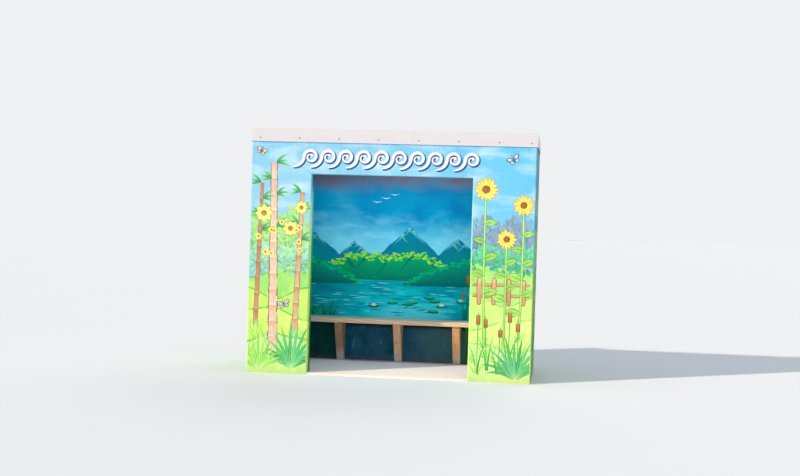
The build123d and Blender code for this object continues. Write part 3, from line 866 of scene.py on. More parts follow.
def bush(mural, u, v, wide, high, dark, light, rise, dabs):
    """Bank of leaf dabs that point up and out, dark and large at first, then small and light on top."""
    chance = mural.chance
    dab_size = 0.030
    for number in range(dabs):
        share = number / dabs
        angle = chance.uniform(0, 2 * pi)
        reach = chance.random() ** 0.6
        du, dv = cos(angle) * reach * wide / 2, sin(angle) * reach * high / 2
        lit = min(1, max(0, 0.15 + share * 0.6 + dv / high * 0.8 + chance.uniform(-0.25, 0.25)))
        colour = tuple(a + (b - a) * lit for a, b in zip(tint(dark), tint(light)))
        size = dab_size * (1.9 - share) * chance.uniform(0.7, 1.2)
        turn = atan2(dv + high * 0.35, du) + chance.uniform(-0.8, 0.8)
        dab = arc(u + du, v + dv, turn, size * 1.5, chance.uniform(-0.5, 0.5))
        mural.stroke(dab, leaf_width(size * 0.75), colour, light, rise + share * 0.9, 5, 0.08)


def spaced(start, end, count):
    """Places from start to end, evenly apart."""
    return [start + (end - start) * number / (count - 1) for number in range(count)]


def bush_row(mural, ends, count, level, size, pairs, rise, dabs):
    """Row of bushes at the heights level(number), whose dark and light colours take turns."""
    for number, u in enumerate(spaced(*ends, count)):
        bush(mural, u, level(number), *size, *pairs[number % len(pairs)], rise, dabs)


def grass_row(mural, ends, count, foot, scatter, blades, height, rise, width=0.012):
    """Row of tufts, each scattered upwards from the foot."""
    for u in spaced(*ends, count):
        tuft(mural, u, foot + mural.chance.uniform(0, scatter), blades, height, FIELD_GREENS, rise, width)


def cane(mural, u, foot, top, width, lean, rise, shades=("8b5a3e", "f6e0c8", "e8b49c")):
    """Jointed cane with brushed sides, brown joints and slim leaves near its top."""
    joint = 0.150
    count = int((top - foot) / joint)
    edge, cream, blush = shades
    for number in range(count):
        low = foot + number * joint
        here = u + lean * number / count
        taper = width * (1 - 0.35 * number / count)
        rest = arc(here, low, pi / 2, joint * 0.985, -lean * 0.3)
        mural.stroke(rest, waisted(taper * 1.22, 0.16), edge, None, rise, 8, 0.05)
        mural.stroke(rest, waisted(taper, 0.14), cream, blush, rise + 0.4, 8, 0.05)
        for line in range(4):
            side = (line - 1.5) / 3.2 + mural.chance.uniform(-0.06, 0.06)
            shade, thin = (blush, 0.13) if line % 2 else (edge, 0.05)
            streak = arc(here + taper * side, low + 0.012, pi / 2, joint * mural.chance.uniform(0.4, 0.85))
            mural.stroke(streak, steady(taper * thin), shade, cream, rise + 0.75, 5, 0.25)
        if number > count * 0.5:
            side = 1 if number % 2 else -1
            for turn in (0.5, 0.95, 1.35):
                leaf(mural, here + side * taper * 0.4, low + joint, pi / 2 - side * turn * 1.1,
                     mural.chance.uniform(0.10, 0.15), 0.022, "1f8a5b", "8fe06a", rise + 1.1, -side * 0.7)


def blossom(mural, u, v, size, petals, colour, tip, middle, rise, edge=None):
    """Round blossom: two rings of petals round a dotted middle."""
    wide = pi * size / petals * 0.85
    for ring, reach in enumerate((1.0, 0.8)):
        for number in range(petals):
            angle = 2 * pi * (number + ring * 0.5) / petals + mural.chance.uniform(-0.08, 0.08)
            long = size / 2 * reach * mural.chance.uniform(0.92, 1.08)
            if edge and not ring:
                rim = arc(u, v, angle, long + 0.006, 0.1)
                mural.stroke(rim, leaf_width(wide + 0.011), edge, None, rise, 5)
            petal = arc(u, v, angle, long, 0.1)
            first, second = (tip, colour) if ring else (colour, tip)
            mural.stroke(petal, leaf_width(wide), first, second, rise + 0.3 + ring * 0.35, 5)
    mural.blob(u, v, size * 0.34, size * 0.33, middle, "7a4a26", rise + 1.2, 14, 0.04)
    for number in range(14):
        angle, reach = number * 2.4, size * 0.042 * number ** 0.5
        mural.blob(u + cos(angle) * reach, v + sin(angle) * reach, size * 0.04, size * 0.04, "e2a04a",
                   None, rise + 1.6, 5)


def tall_flower(mural, u, foot, top, lean, size, rise):
    """Tall stalk with heart-shaped leaves and a pale yellow head."""
    stalk = arc(u, foot, pi / 2 - lean, top - foot, lean * 1.4)
    mural.stroke(stalk, lambda t: 0.024 - 0.008 * t, "5a9a4c", None, rise, 18, 0.12)
    mural.stroke(stalk, lambda t: 0.016 - 0.005 * t, "a2e05c", "d2f484", rise + 0.35, 18, 0.15)
    for number in range(3, 8):
        here = stalk(number / 9)
        side = 1 if number % 2 else -1
        reach = mural.chance.uniform(0.10, 0.15)
        turn = pi / 2 - side * mural.chance.uniform(0.95, 1.3)
        bend = -side * 0.5
        leaf(mural, *here, turn, reach + 0.006, reach * 0.58, "3c9450", None, rise + 0.6, bend)
        leaf(mural, *here, turn, reach, reach * 0.52, "8ed25c", "c8f078", rise + 0.9, bend, "3a9450")
        for vein in (0.35, 0.55, 0.75):
            spot = arc(*here, turn, reach, bend)(vein)
            for way in (-1, 1):
                branch = arc(*spot, turn + way * 0.7, reach * 0.22)
                mural.stroke(branch, blade_width(0.004), "3a9450", None, rise + 1.2, 3)
    blossom(mural, *stalk(1.0), size, 15, "f8d64e", "fdf78c", "a8652c", rise + 1.3, "c49a3c")


def bulrush(mural, u, foot, height, lean, rise, colours):
    """Bulrush: long leaves, a thin stalk and a brown head."""
    first, second = colours
    for side in (-1, 1):
        bend = side * mural.chance.uniform(0.25, 0.6)
        length = height * mural.chance.uniform(0.55, 0.8)
        blade = arc(u + side * 0.006, foot, pi / 2 - bend * 0.1, length, -bend)
        mural.stroke(blade, blade_width(0.018), first, second, rise, 9)
    stalk = arc(u, foot, pi / 2 - lean, height, lean * 0.6)
    mural.stroke(stalk, steady(0.008), second, first, rise + 0.3, 10)
    start, end = stalk(0.78), stalk(0.95)
    head = arc(*start, atan2(end[1] - start[1], end[0] - start[0]), height * 0.17)
    mural.stroke(head, steady(0.038), "6b3f26", None, rise + 0.6, 8)
    mural.stroke(head, steady(0.028), "a8683c", "c98a58", rise + 0.9, 8)


def butterfly(mural, u, v, size, turn, wing, spot, rise):
    """Butterfly with four wings, spots and a slim body."""
    ink = "2b3350"
    for side in (-1, 1):
        for reach, drop, large in ((0.36, 0.16, 0.58), (0.27, -0.20, 0.40)):
            here = swung(u, v, side * reach * size, drop * size, turn)
            span, tilt = large * size, turn + side * 0.6
            mural.blob(*here, span, span * 0.8, ink, None, rise, 12, 0.05, tilt)
            mural.blob(*here, span * 0.78, span * 0.58, wing, "fff6d8", rise + 0.4, 12, 0.05, tilt)
            mural.blob(*here, span * 0.26, span * 0.22, spot, None, rise + 0.8, 8)
    body = arc(*swung(u, v, 0, -size * 0.3, turn), turn + pi / 2, size * 0.62)
    mural.stroke(body, leaf_width(size * 0.12), ink, None, rise + 1.0, 6)
    for side in (-1, 1):
        feeler = arc(*swung(u, v, 0, size * 0.3, turn), turn + pi / 2 - side * 0.5, size * 0.26, side * 0.9)
        mural.stroke(feeler, blade_width(size * 0.04), ink, None, rise + 1.0, 5)


def rail_fence(mural, start, end, level, high, rise):
    """Low wooden fence: uneven posts, two rails and a worn edge."""
    wood, edge = ("d3a070", "f0c898"), "96643f"
    for share in (0.35, 0.78):
        v = level + high * share
        under, rail = (arc(start, v + up, 0.02, end - start) for up in (0, 0.002))
        mural.stroke(under, steady(0.030), edge, None, rise, 14, 0.1)
        mural.stroke(rail, steady(0.020), *wood, rise + 0.3, 14, 0.15)
    count = max(2, round((end - start) / 0.155))
    for number in range(count):
        u = start + (number + 0.5) * (end - start) / count
        tall = high * mural.chance.uniform(1.0, 1.12)
        mural.stroke(arc(u, level, pi / 2, tall), steady(0.044), edge, None, rise + 0.5, 8, 0.08)
        post = arc(u, level + 0.006, pi / 2, tall - 0.014)
        mural.stroke(post, steady(0.031), *wood, rise + 0.8, 8, 0.1)
        for line in (-0.008, 0.006):
            grain = arc(u + line, level + 0.03, pi / 2, tall * 0.7)
            mural.stroke(grain, steady(0.003), edge, None, rise + 1.1, 5, 0.4)


def left_garden(mural):
    """Left pier: canes before a green bank with yellow blossoms, and long leaves at the foot."""
    middle = -PIER_MIDDLE_X
    chance = mural.chance
    bush_row(mural, (middle - 0.22, middle + 0.24), 6, lambda n: 1.28 + 0.10 * sin(n * 2.1), (0.25, 0.36),
             [("52a46a", "b8ec96")], 0.6, 130)
    bush_row(mural, (middle - 0.2, middle + 0.22), 4, lambda n: 1.08 + 0.04 * (n % 2), (0.22, 0.22),
             [("4aac98", "b8eec4")], 0.9, 70)
    cane(mural, middle - 0.215, 0.46, 1.95, 0.038, 0.035, 1.6, ("8a5a40", "d9a27c", "b9795a"))
    cane(mural, middle - 0.045, 0.20, 2.13, 0.076, -0.03, 2.2)
    cane(mural, middle + 0.165, 0.38, 1.86, 0.046, 0.045, 1.9, ("8a5a40", "eec9a8", "d0906c"))
    for _ in range(11):
        u, v = middle + chance.uniform(-0.25, 0.25), 1.26 + chance.uniform(-0.17, 0.2)
        blossom(mural, u, v, chance.uniform(0.05, 0.07), 7, "f9d94e", "fffaa0", "d98f34", 3.2)
    for shift, v, size in ((-0.16, 1.52, 0.17), (0.10, 1.38, 0.15), (0.20, 1.58, 0.13)):
        u = middle + shift
        for number in range(5):
            leaf(mural, u, v, number * 1.26 + 0.6, size * 0.62, size * 0.26, "4fae3c", "a8e85a", 3.2)
        blossom(mural, u, v, size, 8, "f2e86a", "fcfbb4", "c9b23c", 3.5, "a9a83c")
    for u, v in ((-0.215, 0.45), (0.165, 0.37), (-0.045, 0.19)):
        for shift in (-0.022, 0.022):
            tuft(mural, middle + u + shift, v - 0.02, 9, 0.13, FIELD_GREENS, 3.2, 0.008)
    grass_row(mural, (middle - 0.27, middle + 0.274), 9, 0.05, 0.3, 9, 0.20, 2.4, 0.009)
    rosette(mural, middle + 0.14, 0.05, 0.42, DARK_GREENS, "9fe89a", 3.4)
    rosette(mural, middle - 0.17, 0.03, 0.33, FIELD_GREENS[:3], "d9f7a0", 3.6)
    butterfly(mural, middle + 0.055, 0.66, 0.10, 0.3, "c9c3d6", "8d86a8", 3.2)
    butterfly(mural, middle - 0.20, 2.11, 0.085, -0.4, "f7a65a", "fff0a0", 3.2)


def right_garden(mural):
    """Right pier: tall yellow flowers before a blue bank and a fence, with bulrushes at the foot."""
    middle = PIER_MIDDLE_X
    bush_row(mural, (middle - 0.22, middle + 0.24), 6, lambda n: 1.30 + 0.07 * sin(n * 1.7 + 1),
             (0.25, 0.32), [("5a6f94", "8fb4c8")], 0.6, 110)
    bush_row(mural, (middle - 0.22, middle + 0.22), 5, lambda n: 1.14 + 0.02 * (n % 2), (0.20, 0.18),
             [("178a76", "6fdca0")], 0.9, 60)
    rail_fence(mural, middle - 0.275, middle + 0.275, 0.72, 0.24, 1.4)
    flowers = ((0.17, 0.40, 1.66, 0.04, 0.20, 2.4), (-0.15, 0.34, 1.80, -0.04, 0.23, 2.6),
               (0.03, 0.30, 1.34, 0.02, 0.19, 2.8))
    for shift, *flower in flowers:
        tall_flower(mural, middle + shift, *flower)
    for shift, foot, *_ in flowers:
        tuft(mural, middle + shift, foot - 0.02, 12, 0.14, FIELD_GREENS, 3.2, 0.008)
    for number in range(5):
        foot, height = 0.08 + 0.03 * (number % 2), 0.58 - 0.07 * (number % 3)
        lean = mural.chance.uniform(-0.08, 0.08)
        bulrush(mural, middle - 0.21 + number * 0.095, foot, height, lean, 3.4, ("2f9450", "84d860"))
    grass_row(mural, (middle - 0.27, middle + 0.274), 9, 0.04, 0.2, 9, 0.19, 3.3, 0.009)
    rosette(mural, middle + 0.15, 0.03, 0.42, DARK_GREENS, "9fe89a", 3.8)
    butterfly(mural, middle + 0.08, 2.08, 0.10, 0.5, "7fb4ec", "fff6c0", 3.2)


def side_garden(mural):
    """Side wall outside: a green bank, tall flowers and grass, as on the piers."""
    reach = (BACK_HIGH.y - FRONT_Y) / 2 - ARRIS
    green = ("1f8f6a", "8fe88a")
    bush_row(mural, (0.1 - reach, reach - 0.1), 9, lambda n: 1.10 + 0.07 * sin(n * 1.9), (0.30, 0.34),
             [green, green, ("4b6f9c", "5fb8b4")], 0.6, 70)
    for number in range(4):
        top, lean = 1.35 + 0.3 * (number % 2), 0.05 * (-1) ** number
        tall_flower(mural, -0.45 + number * 0.29, 0.3, top, lean, 0.2, 1.8)
    grass_row(mural, (0.06 - reach, reach - 0.06), 14, 0.04, 0.14, 7, 0.22, 2.8)
    for u in (-0.36, 0.3):
        rosette(mural, u, 0.04, 0.33, DARK_GREENS, "8fe38a", 3.4)


def scroll_path(centre, level, floor, pitch, radius):
    """Path of one running wave: up from the floor, then inwards round its centre."""
    rise_share = 0.3

    def path(t):
        if t < rise_share:
            turn = t / rise_share * pi / 2
            return centre - radius - pitch * 0.62 * (1 - sin(turn)), level - (level - floor) * cos(turn)
        turn = (t - rise_share) / (1 - rise_share)
        angle = pi - turn * 2.7 * pi
        reach = radius * (1 - 0.74 * turn)
        return centre - radius * 0.10 * turn + cos(angle) * reach, level + sin(angle) * reach
    return path


def scroll_width(more=0.0):
    """Width of a running wave's stroke, with a shadow's width added."""
    return lambda t: 0.007 + 0.021 * sin(pi * min(1, max(0, t)) ** 0.7) + more


def running_waves(mural, sizes):
    """White running waves with a dark blue drop shadow, over the doorway."""
    pitch, high = sizes.scroll_pitch, sizes.scroll_height
    radius = high * 0.42
    floor = (HEAD_Z + CAP_BOTTOM) / 2 - high / 2
    level = floor + high - radius
    first = -sizes.scroll_waves * pitch / 2 - 0.02
    drop = 0.009
    for number in range(sizes.scroll_waves):
        centre = first + (number + 0.55) * pitch
        path = scroll_path(centre, level, floor, pitch, radius)
        shadow = scroll_path(centre + drop, level - drop, floor - drop, pitch, radius)
        mural.stroke(shadow, scroll_width(0.012), "24528a", None, 0.6, 60)
        mural.stroke(path, scroll_width(), "ffffff", "f4e4f0", 2.0, 60, 0.03)
        mural.blob(*path(1.0), 0.026, 0.026, "ffffff", None, 2.3, 12)


def water_line(_):
    """Height curve of the lake's top."""
    return WATER_LEVEL


def far_mountains(mural, reach, phase):
    """Blue mountains with pointed peaks and brushed slopes."""
    peaks = [(at + phase, tall, half) for at, tall, half in (
        (-0.95, 0.32, 0.42), (-0.52, 0.24, 0.3), (0.05, 0.40, 0.46), (0.55, 0.30, 0.36), (1.05, 0.36, 0.4))]
    chance = mural.chance

    def ridge(u):
        rise = max(tall * max(0, 1 - abs(u - at) / half) ** 1.15 for at, tall, half in peaks)
        return 1.02 + rise + 0.006 * (sin(u * 31 + phase) + 0.6 * sin(u * 67 + phase * 2))

    mural.land(water_line, ridge, -reach, reach, "22a08e", "1f7fa2", 0.6, 140)
    for at, tall, half in peaks:
        for _ in range(10):
            start = at + chance.uniform(-0.22, 0.22) * half
            if abs(start) > reach - 0.1:
                continue
            side = 1 if chance.random() < 0.5 else -1
            length = chance.uniform(0.08, 0.22) * tall * 2
            slope = arc(start, ridge(start) - 0.01, -pi / 2 + side * 0.6, length, side * 0.35)
            mural.stroke(slope, blade_width(0.016), "74c8c8", "289890", 0.95, 6, 0.2)


def near_wood(mural, reach, phase):
    """Green wood with gullies down its face, bright crowns along its top and brushed folds."""
    chance = mural.chance

    def top(u):
        return 1.07 + 0.075 * sin(u * 3.1 + phase + 2) + 0.03 * sin(u * 9 + phase)

    mural.land(water_line, top, -reach, reach, "00826e", "1eb86e", 1.3, 90)
    sides = ((0, 0.024, "00705e", "008a70"), (0.012, 0.008, "2cba78", "0a9468"))
    for _ in range(int(reach * 16)):
        u = chance.uniform(-reach + 0.15, reach - 0.15)
        side = chance.choice((-1, 1))
        fall = (top(u) - WATER_LEVEL) * chance.uniform(0.8, 1.2)
        for shift, width, dark, light in sides:
            gully = arc(u + side * shift, top(u) - 0.03, -pi / 2 + side * 0.9, fall, -side * 0.5)
            mural.stroke(gully, blade_width(width), dark, light, 1.42 + shift * 5, 8, 0.15)
    count = int(reach * 260)
    for number in range(count):
        u = -reach + 0.03 + (2 * reach - 0.06) * number / count
        lift = chance.uniform(-0.06, 0.014) + 0.012 * sin(u * 40)
        size = chance.uniform(0.022, 0.046)
        rise = 1.6 + (0.02 - lift) * 6
        mural.blob(u, top(u) + lift, size, size * 0.62, chance.choice(CROWN_GREENS), "b8ec70", rise, 7, 0.25)
    for _ in range(int(reach * 26)):
        u = chance.uniform(-reach + 0.12, reach - 0.12)
        v = chance.uniform(0.9, top(u) - 0.03)
        fold = arc(u, v, chance.uniform(-0.3, 0.3), chance.uniform(0.08, 0.2), chance.uniform(-0.6, 0.2))
        mural.stroke(fold, leaf_width(0.012), "008e5a", "3cc070", 2.1, 6, 0.2)


def headland(mural, side, foot, wide, tall):
    """Dark headland that falls from the left (-1) or right (1) end of the wall to the lake."""
    chance = mural.chance

    def crest(u):
        share = min(1, abs(u - foot) / wide)
        return WATER_LEVEL - 0.035 + tall * cos(share * pi / 2) ** 0.8 + 0.006 * sin(u * 44)

    ends = sorted((foot, foot - side * wide))
    mural.land(lambda u: WATER_LEVEL - 0.045, crest, *ends, "00706e", "0aa884", 2.5, 50)
    for _ in range(18):
        u = foot - side * wide * chance.uniform(0.1, 0.85)
        drop = crest(u) - WATER_LEVEL
        if drop > 0.05:
            fold = arc(u, crest(u) - 0.012, -pi / 2 - side * chance.uniform(0.5, 1.0), drop * 0.8, 0.4)
            mural.stroke(fold, blade_width(0.008), "3cb490", "007c68", 2.8, 6, 0.2)
    for _ in range(70):
        u = foot - side * wide * chance.random()
        v = crest(u) + chance.uniform(-0.04, 0.008)
        mural.blob(u, v, 0.042, 0.028, chance.choice(POND_GREENS), "3fcf84", 3.0, 7, 0.3)


def lake_marks(mural, reach):
    """Brushed ripples, lily pads and lilies on the water."""
    chance = mural.chance
    for _ in range(int(reach * 110)):
        u = chance.uniform(-reach + 0.1, reach - 0.1)
        v = chance.uniform(0.50, WATER_LEVEL - 0.02)
        pale = chance.random() < 0.6
        colour, tip, rise = ("8ee6e4", "36c4d0", 0.8) if pale else ("0a82a4", "1296b4", 0.6)
        ripple = arc(u, v, 0, chance.uniform(0.05, 0.17), chance.uniform(-0.12, 0.12))
        mural.stroke(ripple, leaf_width(0.010), colour, tip, rise, 5, 0.15)
    for number in range(int(reach * 9)):
        u, v = chance.uniform(-reach * 0.3, reach * 0.6), chance.uniform(0.53, 0.70)
        mural.blob(u, v, 0.115, 0.036, "04564c", None, 1.4, 14, 0.04)
        mural.blob(u, v + 0.003, 0.10, 0.026, "19906a", "5cc98a", 1.8, 14, 0.05)
        if number % 3 == 0:
            for turn in (-1.1, -0.55, 0, 0.55, 1.1):
                petal = arc(u, v, pi / 2 - turn, 0.034)
                mural.stroke(petal, leaf_width(0.014), "f6c9d6", "ffffff", 2.3, 4)


def lake_scene(mural, reach, phase):
    """Room side: blue mountains, green hills and dark headlands round a lake with lilies and rushes."""
    far_mountains(mural, reach, phase)
    near_wood(mural, reach, phase)
    headland(mural, -1, -reach * 0.98, reach * 0.60, 0.26)
    headland(mural, 1, reach * 0.99, reach * 0.98, 0.34)
    lake_marks(mural, reach)
    for number in range(int(reach * 6)):
        u = reach * 0.97 - 0.04 - (0.082 + 0.012 * (number % 2)) * number
        lean = mural.chance.uniform(-0.06, 0.06)
        bulrush(mural, u, BED_RISE, 0.30 + 0.09 * (number % 3), lean, 3.3, POND_GREENS[1:3])
    for number in range(9):
        tuft(mural, -reach + 0.06 + number * 0.05, BED_RISE, 6, 0.20, POND_GREENS, 3.3)
    for number in range(3):
        u, v = -0.25 * reach + number * 0.09, 1.66 + 0.04 * number
        for side in (-1, 1):
            wing = arc(u, v, pi / 2 - side * 1.0, 0.05, -side * 0.8)
            mural.stroke(wing, blade_width(0.007), "e8f4fa", None, 1.0, 5)


# Fasteners

CAP_STAND = 0.005       # how far the capping's face stands off the wall


def seated(place, out):
    """Matrix that moves a fastener to its place and turns its top outwards."""
    return Matrix.Translation(place) @ Vector(out).to_track_quat("Z", "Y").to_matrix().to_4x4()


def screw(bm, place, out, head, washer):
    """Hexagon-head screw on a domed washer, standing out of a face."""
    parts = ((washer, 0.86, 14, 0.0012, 0.0006), (head, 0.94, 6, 0.0034, 0.0028))
    for width, taper, sides, depth, centre in parts:
        matrix = seated(place, out) @ Matrix.Translation((0, 0, centre))
        bmesh.ops.create_cone(bm, cap_ends=True, segments=sides, radius1=width / 2,
                              radius2=width / 2 * taper, depth=depth, matrix=matrix)


def flat_head(bm, place, out, width):
    """Countersunk head, nearly flush, with a cross slot raised by its burr."""
    seat = seated(place, out)
    thick = 0.0008
    bmesh.ops.create_cone(bm, cap_ends=True, segments=16, radius1=width / 2, radius2=width / 2 * 0.9,
                          depth=thick, matrix=seat @ Matrix.Translation((0, 0, 0.0003)))
    bar = Matrix.Translation((0, 0, 0.0005)) @ Matrix.Diagonal((width * 0.5, width * 0.13, thick, 1))
    for angle in (0, pi / 2):
        bmesh.ops.create_cube(bm, size=1, matrix=seat @ Matrix.Rotation(angle, 4, "Z") @ bar)


def fixing_metal(name, grain, change, colours, rough, metallic):
    """Metal of small fasteners: dull spots, as change gives their edge and softness, on a clean coat."""
    shader = Shader(name)
    dull = shader.noise(grain, 2)
    least, more = rough
    return shader.finish(shader.mix(dull.above(*change), *colours), least + dull * more, None, metallic)


def crests(name, up):
    """Height along up of a roof sheet's highest waves, and their places across it."""
    depth, width = 0.0006, 0.02
    heights = [(up.dot(vert.co), round(vert.co.x, 4)) for vert in frame["nodes"][name].data.vertices]
    top = max(heights)[0]
    groups = []
    for x in sorted({x for height, x in heights if height > top - depth}):
        if groups and x - groups[-1][-1] < width:
            groups[-1].append(x)
        else:
            groups.append([x])
    return top, [sum(group) / len(group) for group in groups]


class SHELTER_OT_front_garden(bpy.types.Operator):
    """Paints the garden on the two piers"""
    bl_idname = "shelter.front_garden"
    bl_label = "Front garden"

    def execute(self, context):
        inner, outer = JAMB_X + ARRIS, OUTER_X - ARRIS
        piers = (("left_garden", left_garden, 11, -outer, -inner),
                 ("right_garden", right_garden, 23, inner, outer))
        for name, design, seed, left, right in piers:
            mural = Mural(name, Wall((0, FRONT_Y, 0), (1, 0, 0)), seed)
            design(mural)
            mural.trim(left, right, PAINT_MARGIN, CAP_BOTTOM - PAINT_MARGIN)
            mural.finish(mural_paint(name), "front_paint")
        return {"FINISHED"}


class SHELTER_OT_running_waves(bpy.types.Operator):
    """Paints the running waves over the doorway"""
    bl_idname = "shelter.running_waves"
    bl_label = "Running waves"

    def execute(self, context):
        mural = Mural("running_waves", Wall((0, FRONT_Y, 0), (1, 0, 0)), 5)
        running_waves(mural, context.scene.shelter_sizes)
        mural.finish(mural_paint("running_waves"), "front_paint")
        return {"FINISHED"}


class SHELTER_OT_side_gardens(bpy.types.Operator):
    """Paints the garden on the outside of both side walls"""
    bl_idname = "shelter.side_gardens"
    bl_label = "Side gardens"

    def execute(self, context):
        middle = (FRONT_Y + BACK_HIGH.y) / 2
        reach = BACK_HIGH.y - middle - ARRIS
        for name, side, seed in (("left_side_garden", -1, 31), ("right_side_garden", 1, 37)):
            mural = Mural(name, Wall((side * OUTER_X, middle, 0), (0, side, 0)), seed)
            side_garden(mural)
            mural.trim(-reach, reach, PAINT_MARGIN, CAP_BOTTOM - PAINT_MARGIN)
            mural.finish(mural_paint(name), "side_paint")
        return {"FINISHED"}


class SHELTER_OT_lake(bpy.types.Operator):
    """Paints the lake round the three walls of the room"""
    bl_idname = "shelter.lake"
    bl_label = "Lake"

    def execute(self, context):
        middle = (FRONT_BACK_Y + BACK_FACE_Y) / 2
        depth = (BACK_FACE_Y - FRONT_BACK_Y) / 2
        faces = (("back_wall_lake", (0, BACK_FACE_Y, 0), (1, 0, 0), ROOM_X, 41, "back_wall_paint"),
                 ("left_wall_lake", (-ROOM_X, middle, 0), (0, 1, 0), depth, 43, "side_paint"),
                 ("right_wall_lake", (ROOM_X, middle, 0), (0, -1, 0), depth, 47, "side_paint"))
        for number, (name, start, along, half, seed, slot) in enumerate(faces):
            mural = Mural(name, Wall(start, along), seed)
            reach = half - PAINT_MARGIN
            lake_scene(mural, reach, number * 0.31)
            mural.trim(-reach, reach, SEAT_HIGH.z + PAINT_MARGIN, BACK_TOP - PAINT_MARGIN)
            mural.finish(mural_paint(name, *ROOM_PAINT), slot)
        return {"FINISHED"}


class SHELTER_OT_capping_screws(bpy.types.Operator):
    """Fixes the capping's faces with painted screws"""
    bl_idname = "shelter.capping_screws"
    bl_label = "Capping screws"

    def execute(self, context):
        sizes = context.scene.shelter_sizes
        head, washer = sizes.screw_head * 0.8, sizes.screw_washer * 0.8
        spacing = sizes.capping_screw_spacing
        rise, left_end, right_end, side_end = 0.036, 0.08, 0.05, 0.16
        level, reach = CAP_BOTTOM + rise, OUTER_X - left_end
        bm = bmesh.new()
        places = [number * spacing - reach for number in range(int(2 * reach / spacing) + 1)]
        for x in (*places, OUTER_X - right_end):
            screw(bm, (x, FRONT_Y - CAP_STAND, level), (0, -1, 0), head, washer)
        low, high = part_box("left_capping")
        for y in spaced(low.y + side_end, high.y - side_end, 4):
            for side in (-1, 1):
                screw(bm, (side * (OUTER_X + CAP_STAND), y, level), (side, 0, 0), head, washer)
        metal = fixing_metal("screw_paint", 120, (0.55, 0.2), ("8e9096", "6f6a66"), (0.4, 0.2), 0.4)
        publish("capping_screws", bm, metal)
        return {"FINISHED"}


class SHELTER_OT_roof_screws(bpy.types.Operator):
    """Fixes the roof sheets to the purlins through every other crest"""
    bl_idname = "shelter.roof_screws"
    bl_label = "Roof screws"

    def execute(self, context):
        sizes = context.scene.shelter_sizes
        head, washer = sizes.screw_head, sizes.screw_washer
        purlins = [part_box(f"purlin_{number}") for number in (1, 2, 3)]
        front, rear = purlins[0][1], purlins[2][1]
        fall = atan2(front.z - rear.z, rear.y - front.y)
        down, up = Vector((0, cos(fall), -sin(fall))), Vector((0, sin(fall), cos(fall)))
        sink, thick, edge, end_x = 0.0004, 0.002, 0.022, 1.12
        bm = bmesh.new()
        for sheet in ("left_roof_sheet", "middle_roof_sheet", "right_roof_sheet"):
            top, places = crests(sheet, up)
            for low, high in purlins:
                y = (low.y + high.y) / 2
                z = (top - y * sin(fall)) / cos(fall) - sink
                for x in places[::2]:
                    screw(bm, (x, y, z), up, head, washer)
        low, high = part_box("front_flashing")
        line = Vector((0, high.y, low.z + thick * cos(fall))) - down * edge
        for x in spaced(-end_x, end_x, 8):
            screw(bm, line + Vector((x, 0, 0)), up, head * 0.75, washer * 0.7)
        metal = fixing_metal("roof_screw_steel", 150, (0.5, 0.3), ("a9afb3", "7c7468"), (0.35, 0.25), 0.7)
        publish("roof_screws", bm, metal)
        return {"FINISHED"}


class SHELTER_OT_board_screws(bpy.types.Operator):
    """Screws the rear board to the rafters' ends"""
    bl_idname = "shelter.board_screws"
    bl_label = "Board screws"

    def execute(self, context):
        bm = bmesh.new()
        low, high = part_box("rear_board")
        under, over, width = 0.035, 0.045, 0.010
        for number in range(1, 6):
            start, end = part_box(f"rafter_{number}")
            for z in (low.z + under, high.z - over):
                flat_head(bm, ((start.x + end.x) / 2, high.y, z), (0, 1, 0), width)
        metal = fixing_metal("board_screw_steel", 200, (0.5, 0.3), ("8f8a80", "7a5138"), (0.5, 0.2), 0.5)
        publish("board_screws", bm, metal)
        return {"FINISHED"}


class SHELTER_OT_bench_screws(bpy.types.Operator):
    """Screws the seat boards to the brackets and the cleats"""
    bl_idname = "shelter.bench_screws"
    bl_label = "Bench screws"

    def execute(self, context):
        bm = bmesh.new()
        seat_width, toe_width, toe_share, toe_shift = 0.010, 0.012, 0.46, 0.008
        brackets = [f"bench_bracket_{number}" for number in (1, 2, 3)]
        carriers = [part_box(name) for name in (*brackets, "bench_left_cleat", "bench_right_cleat")]
        middles = [(start.x + end.x) / 2 for start, end in carriers]
        for board in ("seat_front_board", "seat_back_board"):
            low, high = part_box(board)
            for x in middles:
                for share in (0.24, 0.76):
                    y = low.y + (high.y - low.y) * share
                    flat_head(bm, (x, y, high.z), (0, 0, 1), seat_width)
        for name, x in zip(brackets, middles):
            points = [vert.co for vert in frame["nodes"][name].data.vertices]
            nose = min(points, key=lambda point: (round(point.y, 4), point.z))
            foot = min(points, key=lambda point: (round(point.z, 4), point.y))
            place = nose.lerp(foot, toe_share)
            place.x = x - toe_shift
            flat_head(bm, place, (0, foot.z - nose.z, nose.y - foot.y), toe_width)
        metal = fixing_metal("bench_screw_steel", 200, (0.5, 0.3), ("8f8a80", "5f4636"), (0.42, 0.2), 0.6)
        publish("bench_screws", bm, metal)
        return {"FINISHED"}


# The stage

# Soft lamps: name, strength, spread, azimuth from the front, height, all in degrees, and colour
SUNS = (
    ("key_light", 3.45, 2, -53, 29, (1, 0.9, 0.77)),
    ("sky_fill", 0.7, 80, -10, 70, (0.76, 0.87, 1)),
    ("front_fill", 0.22, 30, 6, 8, (1, 1, 1)),
    ("right_fill", 0.06, 60, 75, 30, (1, 1, 1)),
    ("rear_fill", 1.2, 60, 165, 35, (1, 1, 1)),
)


def place_lamp(lamp, towards):
    """Puts a lamp into the scene with its light coming from a direction."""
    holder = bpy.data.objects.new(lamp.name, lamp)
    holder.rotation_euler = Vector(towards).to_track_quat("Z", "Y").to_euler()
    bpy.context.scene.collection.objects.link(holder)
    return holder


